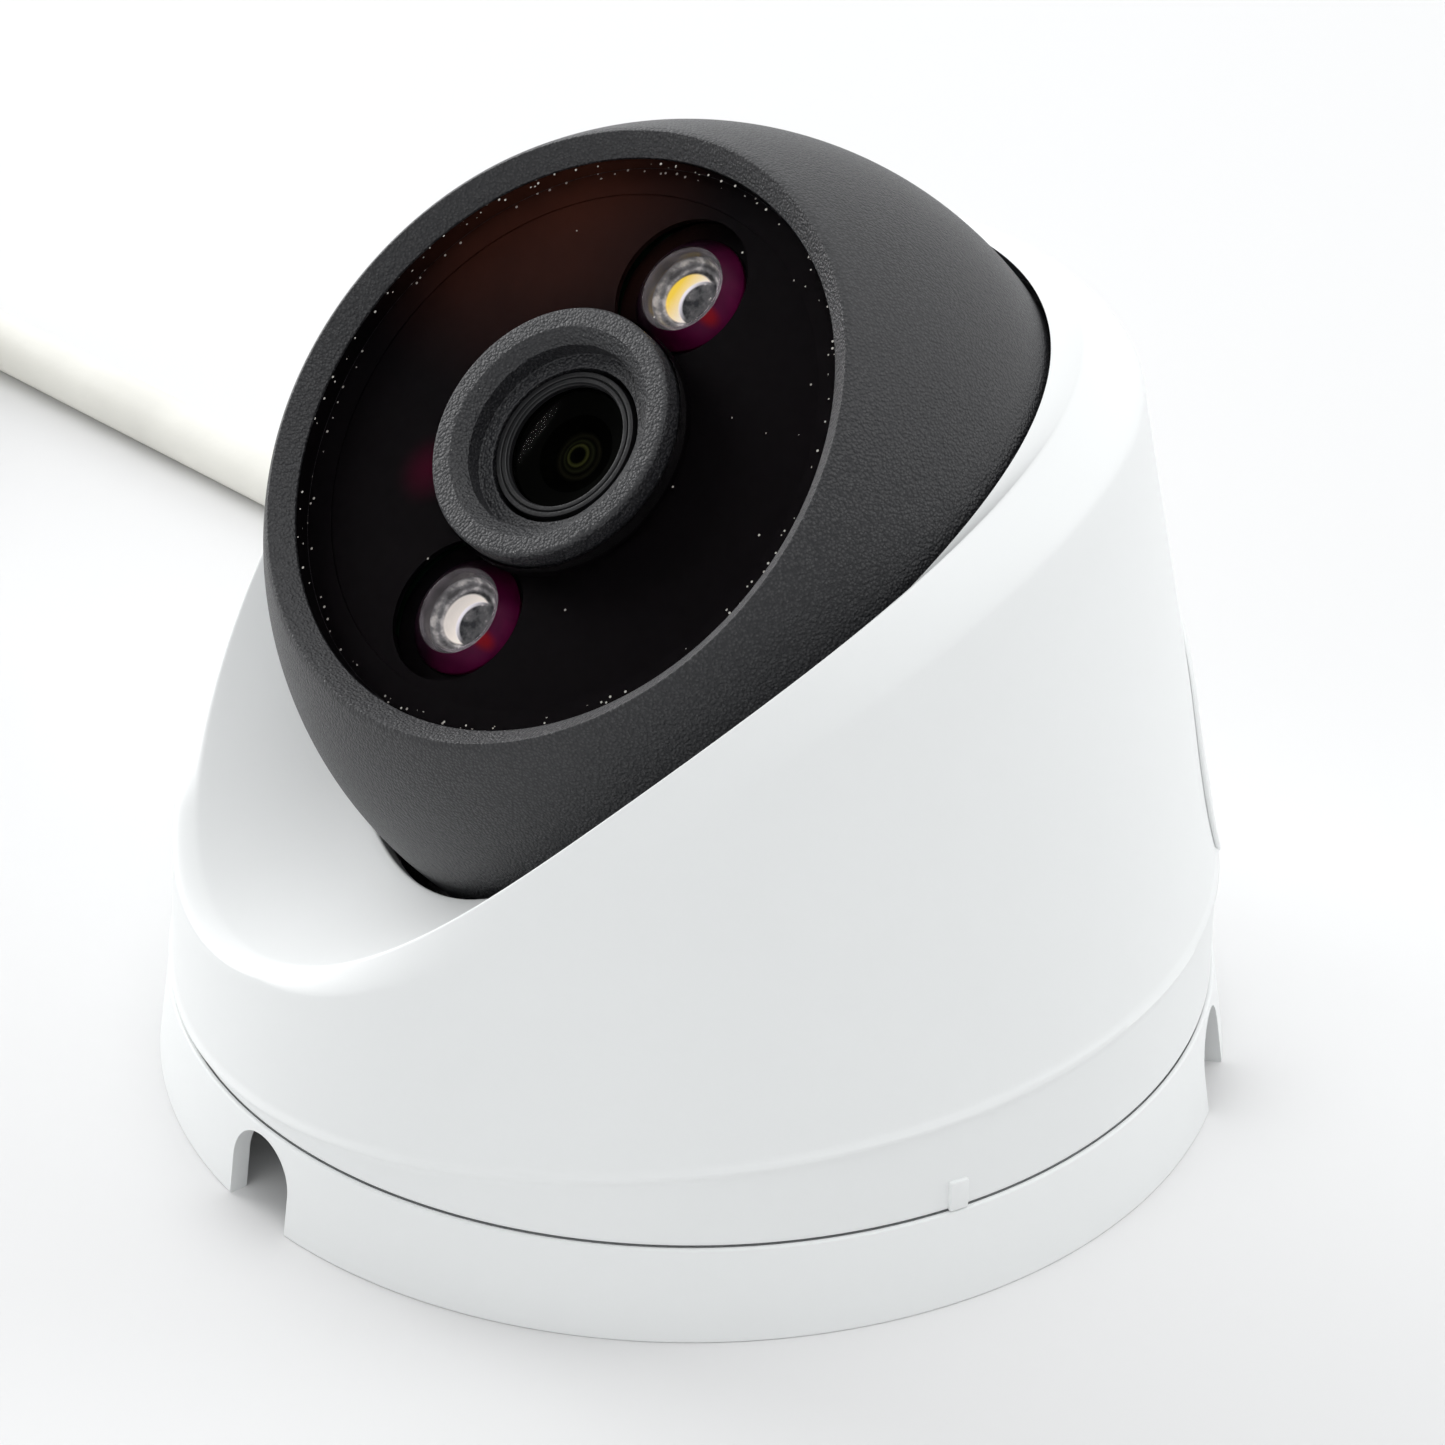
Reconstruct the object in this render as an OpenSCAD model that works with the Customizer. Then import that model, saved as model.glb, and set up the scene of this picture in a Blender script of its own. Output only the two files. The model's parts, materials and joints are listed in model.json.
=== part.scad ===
// Surface-mount eyeball dome camera: a round base, a turning slanted cover and a
// black ball head that swivels, tilts and rolls in the cover's socket.
// The origin is the bottom centre of the base, +Z is up and the cover's low front faces -Y.

/* [Base] */
// Radius of the base at the surface it is fixed to
base_r = 55; // [54.5:0.1:56]
// Radius of the base at its top edge
base_top_r = 53.6; // [53.4:0.1:54]
// Height of the base
base_h = 9.6; // [9.4:0.1:9.8]
// Wall thickness of the base skirt
skirt_t = 2; // [1.6:0.1:2.4]
// Radius of the half-round cable notches in the skirt
notch_r = 4.6; // [4.2:0.1:4.8]
// Circle of the four fixing holes
fixing_pcd = 62; // [58:1:66]
// Radius of a fixing hole
fixing_r = 2.3; // [2:0.1:2.6]
// Radius of the hub that the cover turns on
hub_r = 40; // [39:0.1:40.5]

/* [Cover] */
// Height of the cover's lower edge
lip_z = 10; // [9.9:0.05:10.1]
// Radius of the cover's lip
lip_r = 53.2; // [53:0.1:53.4]
// Thickness of the cover's wall
wall_t = 2; // [1.8:0.1:2.1]
// Tilt of the ball opening from horizontal
opening_tilt = 39.2; // [39:0.1:39.5]
// Width of the soft shoulder below the rim
shoulder_w = 6.8; // [6:0.1:7]

/* [Head] */
// Radius of the ball
ball_r = 41.55; // [41.4:0.05:41.6]
// Height of the ball's centre
ball_z = 56.2; // [56:0.1:56.4]
// Swivel of the head about the opening's axis
swivel_angle = -5.7; // [-30:0.1:30]
// Tilt of the head away from the opening's axis
tilt_angle = 17.3; // [0:0.1:56]
// Roll of the head about its own axis
roll_angle = 20.5; // [-175:0.5:175]
// Distance of the glass face in front of the ball's centre
glass_z = 24.6; // [24:0.1:25]
// Radius of the lens hood
hood_r = 13; // [12.6:0.1:13.4]
// Distance of each lamp from the optical axis
lamp_x = 18.6; // [18:0.1:20]
// Travel of the infrared filter slide
filter_travel = 6.5; // [6:0.1:7]

/* [Cable] */
// Diameter of the tail cable
cable_d = 7; // [6:0.5:7]
// Radius of the coil at the middle of its turns
coil_r = 36; // [35:1:40]

/* [Hidden] */

$fn = 96;
fine = 180;

// Materials' colours
white = [0.93, 0.94, 0.93];
black = [0.09, 0.09, 0.1];
steel = [0.7, 0.71, 0.73];
cream = [0.88, 0.86, 0.79];
green = [0.06, 0.3, 0.16];
brass = [0.72, 0.6, 0.32];

// Base
notch_azimuths = [20, 148, 264];
notch_z = 4.4;
plate_z = 7.2;
pan_gap = 0.05;
hub_wall = 4;
hub_top = 13.6;
pan_ring_z = [10.6, 13.2];
seal_r = [50.5, 52.9];
seal_z = [9.2, 9.7];
retainer_r = [34.5, 43];
retainer_t = 1.6;
retainer_screw_r = 38.2;
retainer_angles = [0, 120, 240];
retainer_hole_r = 1.1;
retainer_shank_r = 1.05;
retainer_head = [2.3, 1.4];
fixing_angles = [45 : 90 : 315];
boss_r = 5.5;
gland_hole_r = 9.3;
gland_r = 9.2;
gland_flange_r = 10.6;
gland_flange_z = 11.4;
gland_z = [0.4, 12];
gland_nose_r = [3.4, 3.1];
gland_reach = 22;
tab_azimuth = 99.4;
tab_size = [2, 0.42, 3.3];
pip_azimuth = 98.2;
pip_r = 1;

// Cover: an oblique cone whose centre leans back as it rises
cone_r = 54.5;
cone_taper = 0.122;
cone_y = 1.2;
cone_lean = 0.067;
cone_z = 9;
lip_t = 2.5;
columns = 72;
ball_y = -0.5;
socket_edge_r = 42.45;
socket_inner_r = 42.6;
ring_top = -10;
ring_low = -14;
swivel_r = [42.25, 43.9];
bow_r = [42.75, 43.75];
seat_r = 44.2;
seat_z = [-17, -12];
seat_outer = 46.2;
bow_w = 9;
slot_w = 3.4;
slot_start = 86;
slot_turn = 66;
seat_inner = 40;
seat_angles = [-60, 0, 60];
seat_screw_r = 44.9;
band_r = [42, 43.4];
band_h = 0.6;
shoe_r = [41.85, 42.45];
shoe_pin_r = 2;
shoe_pin_h = 4.3;
shoe_pad_r = 7.5;
shoe_stud_r = 1.4;
shoe_stud_z = -43.7;

// Cable
cable_r = cable_d / 2;
tail_direction = 264;
tail_route = [
    [-22, 2.3], [-38, 4], [-55, 5.8], [-66, 6.3], [-79, 5.3], [-92, 2.4], [-104, -2.4],
    [-115, -7.7], [-126, -13], [-141, -20.3], [-157, -28.1], [-172, -35.4], [-188, -43.2],
    [-203.5, -50.7]
];
coil_centre = [-187.8, -83.1];
end_route = [[-172.1, -115.5, 10.5], [-163, -111.1, 10.3], [-154, -106.8, 9.3], [-145, -102.4, 8]];
end_heading = 25.8;
cable_sides = 10;
socket_size = [36, 18, 15];
socket_start = 8;
mouth_size = [14, 12, 7];
mouth_start = 31;
mouth_floor = 3;
latch_size = [14, 6, 2.4];
latch_floor = 9.9;
contact_size = [8, 0.4, 0.8];

// Head
bezel_r = 32;
bezel_z = 26.4;
glass_r = 29.7;
ledge_r = 27.5;
shell_t = 2.2;
split_z = -6;
shell_angles = [60, 180, 300];
shell_screw_reach = 34;
glass_t = 2;
mask_r = 27.3;
mask_t = 0.55;
hood_neck_r = 11.5;
lamp_window_r = 6.1;
lens_r = 5.1;
bore_r = 8.8;
board_t = 1.6;
sensor_board_w = 34;
sensor_board_z = -5.7;
lamp_board_r = 25.5;
lamp_board_z = 15.5;
chip_size = [3.5, 3.5, 0.8];
sink_r = 24;
sink_z = [11.3, 15.3];
fin_pitch = 6;
fin_gap = 3;
main_board_r = 29;
main_board_z = -17.6;
pillar_reach = 14.5;
pillar_r = 2;

// ---- shared helpers ----

module ring(outer, inner, low, high) {
    translate([0, 0, low])
    difference() {
        cylinder(r = outer, h = high - low, $fn = fine);
        translate([0, 0, -1])
        cylinder(r = inner, h = high - low + 2, $fn = fine);
    }
}

// Slice of a hollow sphere between two heights.
module spherical_ring(inner, outer, low, high) {
    rotate_extrude($fn = fine)
    intersection() {
        difference() {
            circle(r = outer, $fn = fine);
            circle(r = inner, $fn = fine);
        }
        translate([0, low])
        square([outer + 1, high - low]);
    }
}

module disc(radius, low, high) {
    translate([0, 0, low])
    cylinder(r = radius, h = high - low, $fn = fine);
}

// Turns a solid to face away from the axis at an azimuth counted from -Y towards +X.
module at_azimuth(a) {
    rotate([0, 0, a])
    children();
}

// Ball centre, with +Z along the axis of the socket's opening and -Y down to the front.
module opening_frame() {
    translate([0, ball_y, ball_z])
    rotate([opening_tilt, 0, 0])
    children();
}

// As the opening's frame, turned with the swivelling bow; the head tilts about its Y axis.
module bow_frame() {
    opening_frame()
    rotate([0, 0, swivel_angle])
    children();
}

// Ball centre, with +Z along the optical axis, before the head's own roll.
module tilt_frame() {
    bow_frame()
    rotate([0, tilt_angle, 0])
    children();
}

// Ball centre, with +Z along the optical axis and the lamps along Y.
module head_frame() {
    tilt_frame()
    rotate([0, 0, roll_angle])
    children();
}

// ---- base ----

module cable_notch() {
    translate([0, -base_r + 4.5, notch_z])
    rotate([90, 0, 0])
    cylinder(r = notch_r, h = 6);
    translate([-notch_r, -base_r - 1.5, -1])
    cube([2 * notch_r, 6, notch_z + 1]);
}

module fixing_boss() {
    translate([0, -fixing_pcd / 2, 0])
    cylinder(r = boss_r, h = plate_z + 0.1);
}

module fixing_hole() {
    translate([0, -fixing_pcd / 2, -1])
    cylinder(r = fixing_r, h = base_h + 2);
}

module base_plate() {
    color(white)
    difference() {
        union() {
            difference() {
                cylinder(r1 = base_r, r2 = base_top_r, h = base_h, $fn = fine);
                translate([0, 0, -0.01])
                cylinder(r1 = base_r - skirt_t, r2 = base_r - skirt_t - 1, h = plate_z, $fn = fine);
            }
            disc(hub_r, base_h - 0.1, hub_top);
            for (a = fixing_angles) at_azimuth(a) fixing_boss();
        }
        disc(hub_r - hub_wall, base_h, hub_top + 1);
        disc(gland_hole_r, -1, base_h + 1);
        ring(seal_r[1], seal_r[0], seal_z[0], base_h + 1);
        for (a = notch_azimuths) at_azimuth(a) cable_notch();
        for (a = fixing_angles) at_azimuth(a) fixing_hole();
        for (a = retainer_angles) at_azimuth(a) retainer_hole();
        at_azimuth(pip_azimuth)
        translate([0, -base_top_r - 0.5, base_h])
        sphere(r = pip_r);
    }
}

module retainer_hole() {
    translate([0, -retainer_screw_r, base_h])
    cylinder(r = retainer_hole_r, h = hub_top);
}

module seal_ring() {
    color(black)
    ring(seal_r[1], seal_r[0], seal_z[0], seal_z[1]);
}

module pan_retainer() {
    color(steel)
    difference() {
        ring(retainer_r[1], retainer_r[0], hub_top, hub_top + retainer_t);
        for (a = retainer_angles) at_azimuth(a) retainer_hole();
    }
}

module retainer_screws() {
    color(steel)
    for (a = retainer_angles)
    at_azimuth(a)
    translate([0, -retainer_screw_r, 0]) {
        translate([0, 0, base_h + 0.4])
        cylinder(r = retainer_shank_r, h = hub_top + retainer_t - base_h - 0.3);
        translate([0, 0, hub_top + retainer_t])
        cylinder(r = retainer_head[0], h = retainer_head[1]);
    }
}

// A rubber bush in the centre hole with a tapered nose around the cable.
module cable_gland() {
    color(black)
    difference() {
        union() {
            disc(gland_r, gland_z[0], gland_z[1]);
            disc(gland_flange_r, base_h, gland_flange_z);
            at_azimuth(tail_direction)
            translate([0, 0, cable_r])
            rotate([90, 0, 0])
            cylinder(r1 = gland_nose_r[0], r2 = gland_nose_r[1], h = gland_reach);
        }
        disc(2.2, 5, gland_z[1] + 1);
    }
}

// ---- cable ----

function unit(v) = v / norm(v);
function tangent(p, i) = unit(p[min(i + 1, len(p) - 1)] - p[max(i - 1, 0)]);
function section(centre, along, r, sides) =
    let (side = unit(cross(along, [0, 0, 1])), up = cross(side, along))
    [for (k = [0 : sides - 1])
        let (t = 360 * (k + 0.5) / sides)
        centre + r * (side * cos(t) + up * sin(t))];

// A tube with one ring of points at each point of its route and a flat end on each.
module swept_tube(route, r, sides) {
    rings = len(route);
    points = [for (i = [0 : rings - 1]) each section(route[i], tangent(route, i), r, sides)];
    walls = [for (i = [0 : rings - 2], k = [0 : sides - 1])
        let (a = i * sides + k, b = i * sides + (k + 1) % sides)
        each [[a, b, b + sides], [a, b + sides, a + sides]]];
    ends = [
        [for (k = [sides - 1 : -1 : 0]) k],
        [for (k = [0 : sides - 1]) (rings - 1) * sides + k]
    ];
    polyhedron(points = points, faces = concat(walls, ends), convexity = 4);
}

module tail_cable() {
    color(cream)
    swept_tube([for (p = tail_route) [p[0], p[1], cable_r]], cable_r, cable_sides);
}

module tail_end() {
    color(cream)
    swept_tube(end_route, cable_r, cable_sides);
}

module cable_coil() {
    color(cream)
    translate([coil_centre[0], coil_centre[1], 0])
    rotate_extrude($fn = fine)
    translate([coil_r, 0]) {
        translate([0, cable_r])
        circle(r = cable_r, $fn = 48);
        translate([-cable_r, cable_r])
        square([cable_d, cable_d]);
        translate([0, cable_d + cable_r])
        circle(r = cable_r, $fn = 48);
    }
}

module lan_place() {
    translate([end_route[3][0], end_route[3][1], 0])
    rotate([0, 0, end_heading])
    children();
}

// In-line network socket moulded on the cable's end; its mouth faces along local +X.
module lan_socket() {
    color(black)
    lan_place()
    difference() {
        union() {
            translate([socket_start, -socket_size[1] / 2, 0])
            cube(socket_size);
            translate([0, 0, end_route[3][2]])
            rotate([0, 90, 0])
            cylinder(r1 = 4.2, r2 = 6.6, h = socket_start + 0.1);
        }
        translate([mouth_start, -mouth_size[1] / 2, mouth_floor])
        cube(mouth_size);
        translate([mouth_start, -latch_size[1] / 2, latch_floor])
        cube(latch_size);
    }
}

module lan_contacts() {
    color(brass)
    lan_place()
    for (i = [0 : 7])
    translate([mouth_start + 1, -3.7 + i, mouth_floor])
    cube(contact_size);
}

// ---- cover ----

// Radius, leaning centre and reach of the oblique cone at a height.
function cone_radius(z) = cone_r - cone_taper * (z - cone_z);
function cone_centre(z) = cone_y - cone_lean * (z - cone_z);
function cone_reach(a, z) =
    let (r = cone_radius(z), c = cone_centre(z))
    -c * cos(a) + sqrt(r * r - pow(c * sin(a), 2));

// The saddle-shaped rim and the socket's edge, by angle about the opening's axis.
function rim_h(t) = 6.1 + 6.3 * cos(t) - 5.9 * cos(2 * t) - 0.3 * cos(3 * t);
function rim_q(t) = 48 + 5.9 * cos(t) + 2.9 * cos(2 * t) + 1.1 * cos(3 * t) + 0.6 * cos(4 * t);
function edge_h(t) = 2.8 + 0.7 * cos(t) - 4.8 * cos(2 * t);

// A point given by height along and distance from the opening's axis.
function opening_point(h, q, t) =
    let (y = -q * cos(t))
    [
        q * sin(t),
        ball_y + y * cos(opening_tilt) - h * sin(opening_tilt),
        ball_z + y * sin(opening_tilt) + h * cos(opening_tilt)
    ];

function smooth(x) = let (c = max(0, min(1, x))) c * c * (3 - 2 * c);
function folded(t) = abs(t > 180 ? 360 - t : t);
function polar(a, r, z) = [r * sin(a), -r * cos(a), z];
function bezier(a, b, c, u) = a * (1 - u) * (1 - u) + b * 2 * u * (1 - u) + c * u * u;
function lip_reach(a, z) = min(lip_r, cone_reach(a, z));

// Where the lip's straight side meets the leaning wall.
function ridge_z(a) =
    cone_z + (cone_r - cone_y * cos(a) - lip_r) / (cone_taper - cone_lean * cos(a));

// Every point of one column, from the lip's outer edge over the rim to its inner edge.
function cover_column(t) =
    let (
        rim = opening_point(rim_h(t), rim_q(t), t),
        a = atan2(rim[0], -rim[1]),
        reach = norm([rim[0], rim[1]]),
        band = 2 + (shoulder_w - 2) * smooth(folded(t) / 75),
        gap = min(max(cone_reach(a, rim[2]) - reach, 0.05), 0.9 * band),
        shoulder = rim[2] - sqrt(band * band - gap * gap),
        top = polar(a, cone_reach(a, shoulder), shoulder),
        knee = polar(a, cone_reach(a, shoulder + 0.45 * band), shoulder + 0.45 * band),
        low = max(lip_z + 1.4, min(ridge_z(a), shoulder - 4)),
        edge = opening_point(edge_h(t), socket_edge_r, t),
        front = smooth(1 - folded(t) / 70),
        sag = (edge + rim) / 2 - [0, 0, 1.5 * front + 0.4],
        inner_h = edge_h(t) - 2,
        inner = opening_point(inner_h, sqrt(pow(socket_inner_r, 2) - inner_h * inner_h), t),
        under = polar(a, reach - wall_t + 0.55 * gap, rim[2] - 2.7 - 2 * abs(sin(t))),
        wall = polar(a, cone_reach(a, shoulder - 3) - wall_t, shoulder - 3)
    )
    concat(
        [polar(a, lip_r - 0.3, lip_z), polar(a, lip_r, lip_z + 0.3)],
        [for (u = [0 : 0.2 : 0.8])
            let (z = low + (shoulder - low) * u)
            polar(a, lip_reach(a, z), z)],
        [for (u = [0 : 0.25 : 0.75]) bezier(top, knee, rim, u)],
        [for (u = [0 : 0.2 : 1]) bezier(rim, sag, edge, u)],
        [inner, (inner + under) / 2, under, wall],
        [for (u = [0.4, 1])
            let (z = shoulder - 3 + (low + 1 - shoulder + 3) * u)
            polar(a, cone_reach(a, z) - wall_t - 0.2 * u, z)],
        [polar(a, lip_r - lip_t, max(low - 2, lip_z + 0.6)), polar(a, lip_r - lip_t, lip_z)]
    );

// A ring of columns, each joined to the next, closed all round.
module lathe_skin(profile) {
    count = len(profile);
    rows = len(profile[0]);
    faces = [for (i = [0 : count - 1], k = [0 : rows - 1])
        let (
            a = i * rows + k,
            b = i * rows + (k + 1) % rows,
            c = ((i + 1) % count) * rows + (k + 1) % rows,
            d = ((i + 1) % count) * rows + k
        )
        each [[a, b, c], [a, c, d]]];
    polyhedron(points = [for (p = profile) each p], faces = faces, convexity = 6);
}

module cover_shell() {
    color(white)
    lathe_skin([for (i = [0 : columns - 1]) cover_column(360 * i / columns)]);
}

module index_tab() {
    color(white)
    at_azimuth(tab_azimuth)
    translate([-tab_size[0] / 2, -lip_r - 0.45, lip_z])
    cube(tab_size);
}

// Flat ring snapped into the lip that turns on the base's hub.
module pan_ring() {
    color(white)
    ring(lip_r - lip_t - 0.25, hub_r + pan_gap, pan_ring_z[0], pan_ring_z[1]);
}

// Curved plate on the rear of the cover, laid out on an oval.
module rear_badge() {
    middle = 168;
    half_turn = 14;
    half_rise = 13;
    z = 32;
    steps = 40;
    levels = 6;
    function spot(u, k, lift) =
        let (
            a = middle + half_turn * u * cos(360 * k / steps),
            rise = z + half_rise * u * sin(360 * k / steps)
        )
        polar(a, cone_reach(a, rise) + lift, rise);
    function sheet(lift) = concat(
        [spot(0, 0, lift)],
        [for (i = [1 : levels], k = [0 : steps - 1]) spot(i / levels, k, lift)]
    );
    size = 1 + levels * steps;
    function cell(i, k) = 1 + i * steps + k % steps;
    fan = [for (k = [0 : steps - 1]) [0, cell(0, k), cell(0, k + 1)]];
    web = [for (i = [0 : levels - 2], k = [0 : steps - 1])
        each [
            [cell(i, k), cell(i + 1, k), cell(i + 1, k + 1)],
            [cell(i, k), cell(i + 1, k + 1), cell(i, k + 1)]
        ]];
    skin = concat(fan, web);
    rim = [for (k = [0 : steps - 1])
        let (a = cell(levels - 1, k), b = cell(levels - 1, k + 1))
        each [[a, size + a, size + b], [a, size + b, b]]];
    color(white)
    polyhedron(
        points = concat(sheet(0.5), sheet(0.03)),
        faces = concat(
            [for (f = skin) [f[2], f[1], f[0]]],
            [for (f = skin) [size + f[0], size + f[1], size + f[2]]],
            [for (f = rim) [f[2], f[1], f[0]]]
        ),
        convexity = 4
    );
}

// Part of a ring below the swivelling ring that carries it across the cover's front.
module socket_ring() {
    color(black)
    opening_frame()
    difference() {
        rotate([0, 0, 180])
        rotate_extrude(angle = 180, $fn = fine)
        difference() {
            translate([seat_inner, seat_z[0]])
            square([seat_outer - seat_inner, seat_z[1] - seat_z[0]]);
            circle(r = seat_r, $fn = fine);
        }
        for (a = seat_angles) socket_hole(a);
    }
}

module socket_hole(a) {
    rotate([0, 0, a])
    translate([0, -seat_screw_r, seat_z[0] - 1])
    cylinder(r = 0.8, h = 3.5);
}

module socket_screws() {
    color(steel)
    opening_frame()
    for (a = seat_angles)
    rotate([0, 0, a])
    translate([0, -seat_screw_r, 0]) {
        translate([0, 0, seat_z[0] - 0.1])
        cylinder(r = 0.78, h = 2.4);
        translate([0, 0, seat_z[0] - 0.9])
        cylinder(r = 1.2, h = 0.9);
    }
}

// ---- swivelling bow and tilting shoe ----

// Swivel ring with a slotted bow under the ball, in which the tilting shoe is guided.
module swivel_bow() {
    color(black)
    bow_frame()
    difference() {
        union() {
            spherical_ring(swivel_r[0], swivel_r[1], ring_low, ring_top);
            intersection() {
                difference() {
                    sphere(r = bow_r[1], $fn = fine);
                    sphere(r = bow_r[0], $fn = fine);
                }
                translate([-60, -bow_w / 2, -60])
                cube([120, bow_w, 60 + ring_low + 0.3]);
            }
        }
        slot_cut();
    }
}

// The slot runs from just past the bow's middle to short of the ring.
module slot_cut() {
    rotate([-90, 0, 0])
    rotate([0, 0, slot_start])
    rotate_extrude(angle = slot_turn, $fn = fine)
    translate([40, -slot_w / 2])
    square([6, slot_w]);
}

module friction_band() {
    color(black)
    bow_frame()
    spherical_ring(band_r[0], band_r[1], ring_top, ring_top + band_h);
}

// Round shoe at the ball's rear pole: a pin turns in the ball and a stud rides in the slot.
module tilt_shoe() {
    color(steel)
    tilt_frame() {
        intersection() {
            difference() {
                sphere(r = shoe_r[1], $fn = fine);
                sphere(r = shoe_r[0], $fn = fine);
            }
            translate([0, 0, -50])
            cylinder(r = shoe_pad_r, h = 20);
        }
        translate([0, 0, -shoe_r[0] - 0.3])
        cylinder(r = shoe_pin_r, h = shoe_pin_h);
        translate([0, 0, shoe_stud_z])
        cylinder(r = shoe_stud_r, h = 1.5);
    }
}

// ---- head ----

// The ball's front: a spherical band, a bezel sloping in to the glass and its ledge.
module front_shell() {
    inner = ball_r - shell_t;
    color(black)
    head_frame()
    difference() {
        intersection() {
            sphere(r = ball_r, $fn = fine);
            disc(50, split_z, bezel_z);
        }
        difference() {
            sphere(r = inner, $fn = fine);
            disc(50, glass_z - glass_t - 2, 50);
        }
        disc(ledge_r, glass_z - glass_t - 3, 50);
        disc(glass_r, glass_z - glass_t, 50);
        translate([0, 0, glass_z])
        cylinder(r1 = glass_r, r2 = bezel_r - 0.3, h = bezel_z - glass_z + 0.01, $fn = fine);
        ring(inner + 1, inner - 3, split_z - 1, split_z + 1.4);
    }
}

// The ball's back, with a stepped joint, the shoe's pivot and a slot for the wiring.
module rear_shell() {
    inner = ball_r - shell_t;
    color(black)
    head_frame()
    difference() {
        union() {
            intersection() {
                difference() {
                    sphere(r = ball_r, $fn = fine);
                    sphere(r = inner, $fn = fine);
                }
                disc(50, -50, split_z);
            }
            translate([0, 0, -ball_r + 0.4])
            cylinder(r = 4.4, h = 6);
        }
        translate([0, 0, -50])
        cylinder(r = shoe_pin_r + 0.05, h = 20);
        translate([0, 15, -50])
        cylinder(r = 4, h = 20);
        for (a = shell_angles) rotate([0, 0, a]) shell_screw_hole();
    }
}

module shell_screw_hole() {
    translate([0, shell_screw_reach, -50])
    cylinder(r = 1.3, h = 40);
}

module shell_seal() {
    inner = ball_r - shell_t;
    color(black)
    head_frame()
    ring(inner + 0.2, inner - 1.6, split_z, split_z + 1.2);
}

module shell_screws() {
    color(steel)
    head_frame()
    for (a = shell_angles)
    rotate([0, 0, a])
    translate([0, shell_screw_reach, -21.8])
    cylinder(r = 1.25, h = 15.6);
}

module front_glass() {
    color([0.12, 0.05, 0.06])
    head_frame()
    ring(glass_r - 0.05, hood_r + 0.3, glass_z - glass_t, glass_z);
}

// Opaque plate behind the glass, with a window for each lamp.
module mask_plate() {
    color(black)
    head_frame()
    difference() {
        ring(mask_r, hood_neck_r + 0.2, glass_z - glass_t - 0.05 - mask_t, glass_z - glass_t - 0.05);
        for (s = [-1, 1])
        translate([0, s * lamp_x, 0])
        cylinder(r = lamp_window_r, h = 50);
    }
}

// Raised ring around the lens: a flat rim, a chamfer and a sunk floor, on a narrower neck.
module lens_hood() {
    neck_top = glass_z - glass_t - 0.02;
    color(black)
    head_frame()
    rotate_extrude($fn = fine)
    polygon([
        [hood_neck_r, 18.5], [hood_neck_r, neck_top], [hood_r, neck_top], [hood_r, 26.2],
        [hood_r - 0.4, 26.6], [hood_r - 2.1, 26.6], [9.5, 25.45], [9.5, 23.5], [8, 23.5], [8, 18.5]
    ]);
}

module lens_barrel() {
    color(black)
    head_frame()
    rotate_extrude($fn = fine)
    polygon([
        [5.2, 21.4], [5.2, 4], [6, 4], [6, 17], [7.55, 17], [7.55, 22.6], [6.9, 22.6], [6.9, 21.4]
    ]);
}

module lens_front_ring() {
    color(black)
    head_frame()
    rotate_extrude($fn = fine)
    polygon([
        [7.55, 22.6], [7.55, 23.4], [7.35, 23.6], [6.6, 23.6], [6.3, 23.3], [6.3, 22.6]
    ]);
}

module lens_front_element() {
    color([0.02, 0.03, 0.03])
    head_frame()
    rotate_extrude($fn = fine)
    intersection() {
        union() {
            translate([0, 21.4])
            square([6.85, 1.15]);
            translate([0, 21.4])
            square([6.25, 2.2]);
        }
        translate([0, 23.4 - 30])
        circle(r = 30, $fn = fine);
    }
}

module lens_iris() {
    color(black)
    head_frame()
    ring(lens_r, 2.2, 20.2, 20.8);
}

module lens_rear_element() {
    color([0.02, 0.03, 0.03])
    head_frame()
    disc(lens_r, 10, 14);
}

// Threaded square holder for the lens, open across for the filter slide.
module lens_holder() {
    color(black)
    head_frame()
    difference() {
        union() {
            translate([-9, -9, -4])
            cube([18, 18, 8]);
            disc(8.4, 3.9, 15);
        }
        disc(6.05, -0.1, 16);
        translate([-5.6, -4.8, -5])
        cube([11.2, 9.6, 5.1]);
        translate([-12, -7.3, 0])
        cube([24, 14.6, 1.9]);
    }
}

module filter_slide() {
    color([0.3, 0.12, 0.16])
    head_frame()
    difference() {
        translate([-4.7 - filter_travel, -7, 0.3])
        cube([9.5 + filter_travel, 14, 1.2]);
        translate([-7, 0, -1])
        cylinder(r = 3, h = 4);
    }
}

module sensor_board() {
    color(green)
    head_frame()
    translate([-sensor_board_w / 2, -sensor_board_w / 2, sensor_board_z])
    cube([sensor_board_w, sensor_board_w, board_t]);
}

module image_sensor() {
    color([0.1, 0.1, 0.14])
    head_frame()
    translate([-5, -4.2, -4.05])
    cube([10, 8.4, 1.6]);
}

module board_socket() {
    color([0.85, 0.84, 0.78])
    head_frame()
    translate([-14.5, 10.4, -4.05])
    cube([10, 5, 4]);
}

module lamp_board() {
    color(green)
    head_frame()
    difference() {
        disc(lamp_board_r, lamp_board_z, lamp_board_z + board_t);
        disc(bore_r, lamp_board_z - 1, lamp_board_z + board_t + 1);
    }
}

module lamp_chip(side) {
    color([0.95, 0.85, 0.2])
    head_frame()
    translate([-chip_size[0] / 2, side * lamp_x - chip_size[1] / 2, lamp_board_z + board_t + 0.05])
    cube(chip_size);
}

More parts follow.
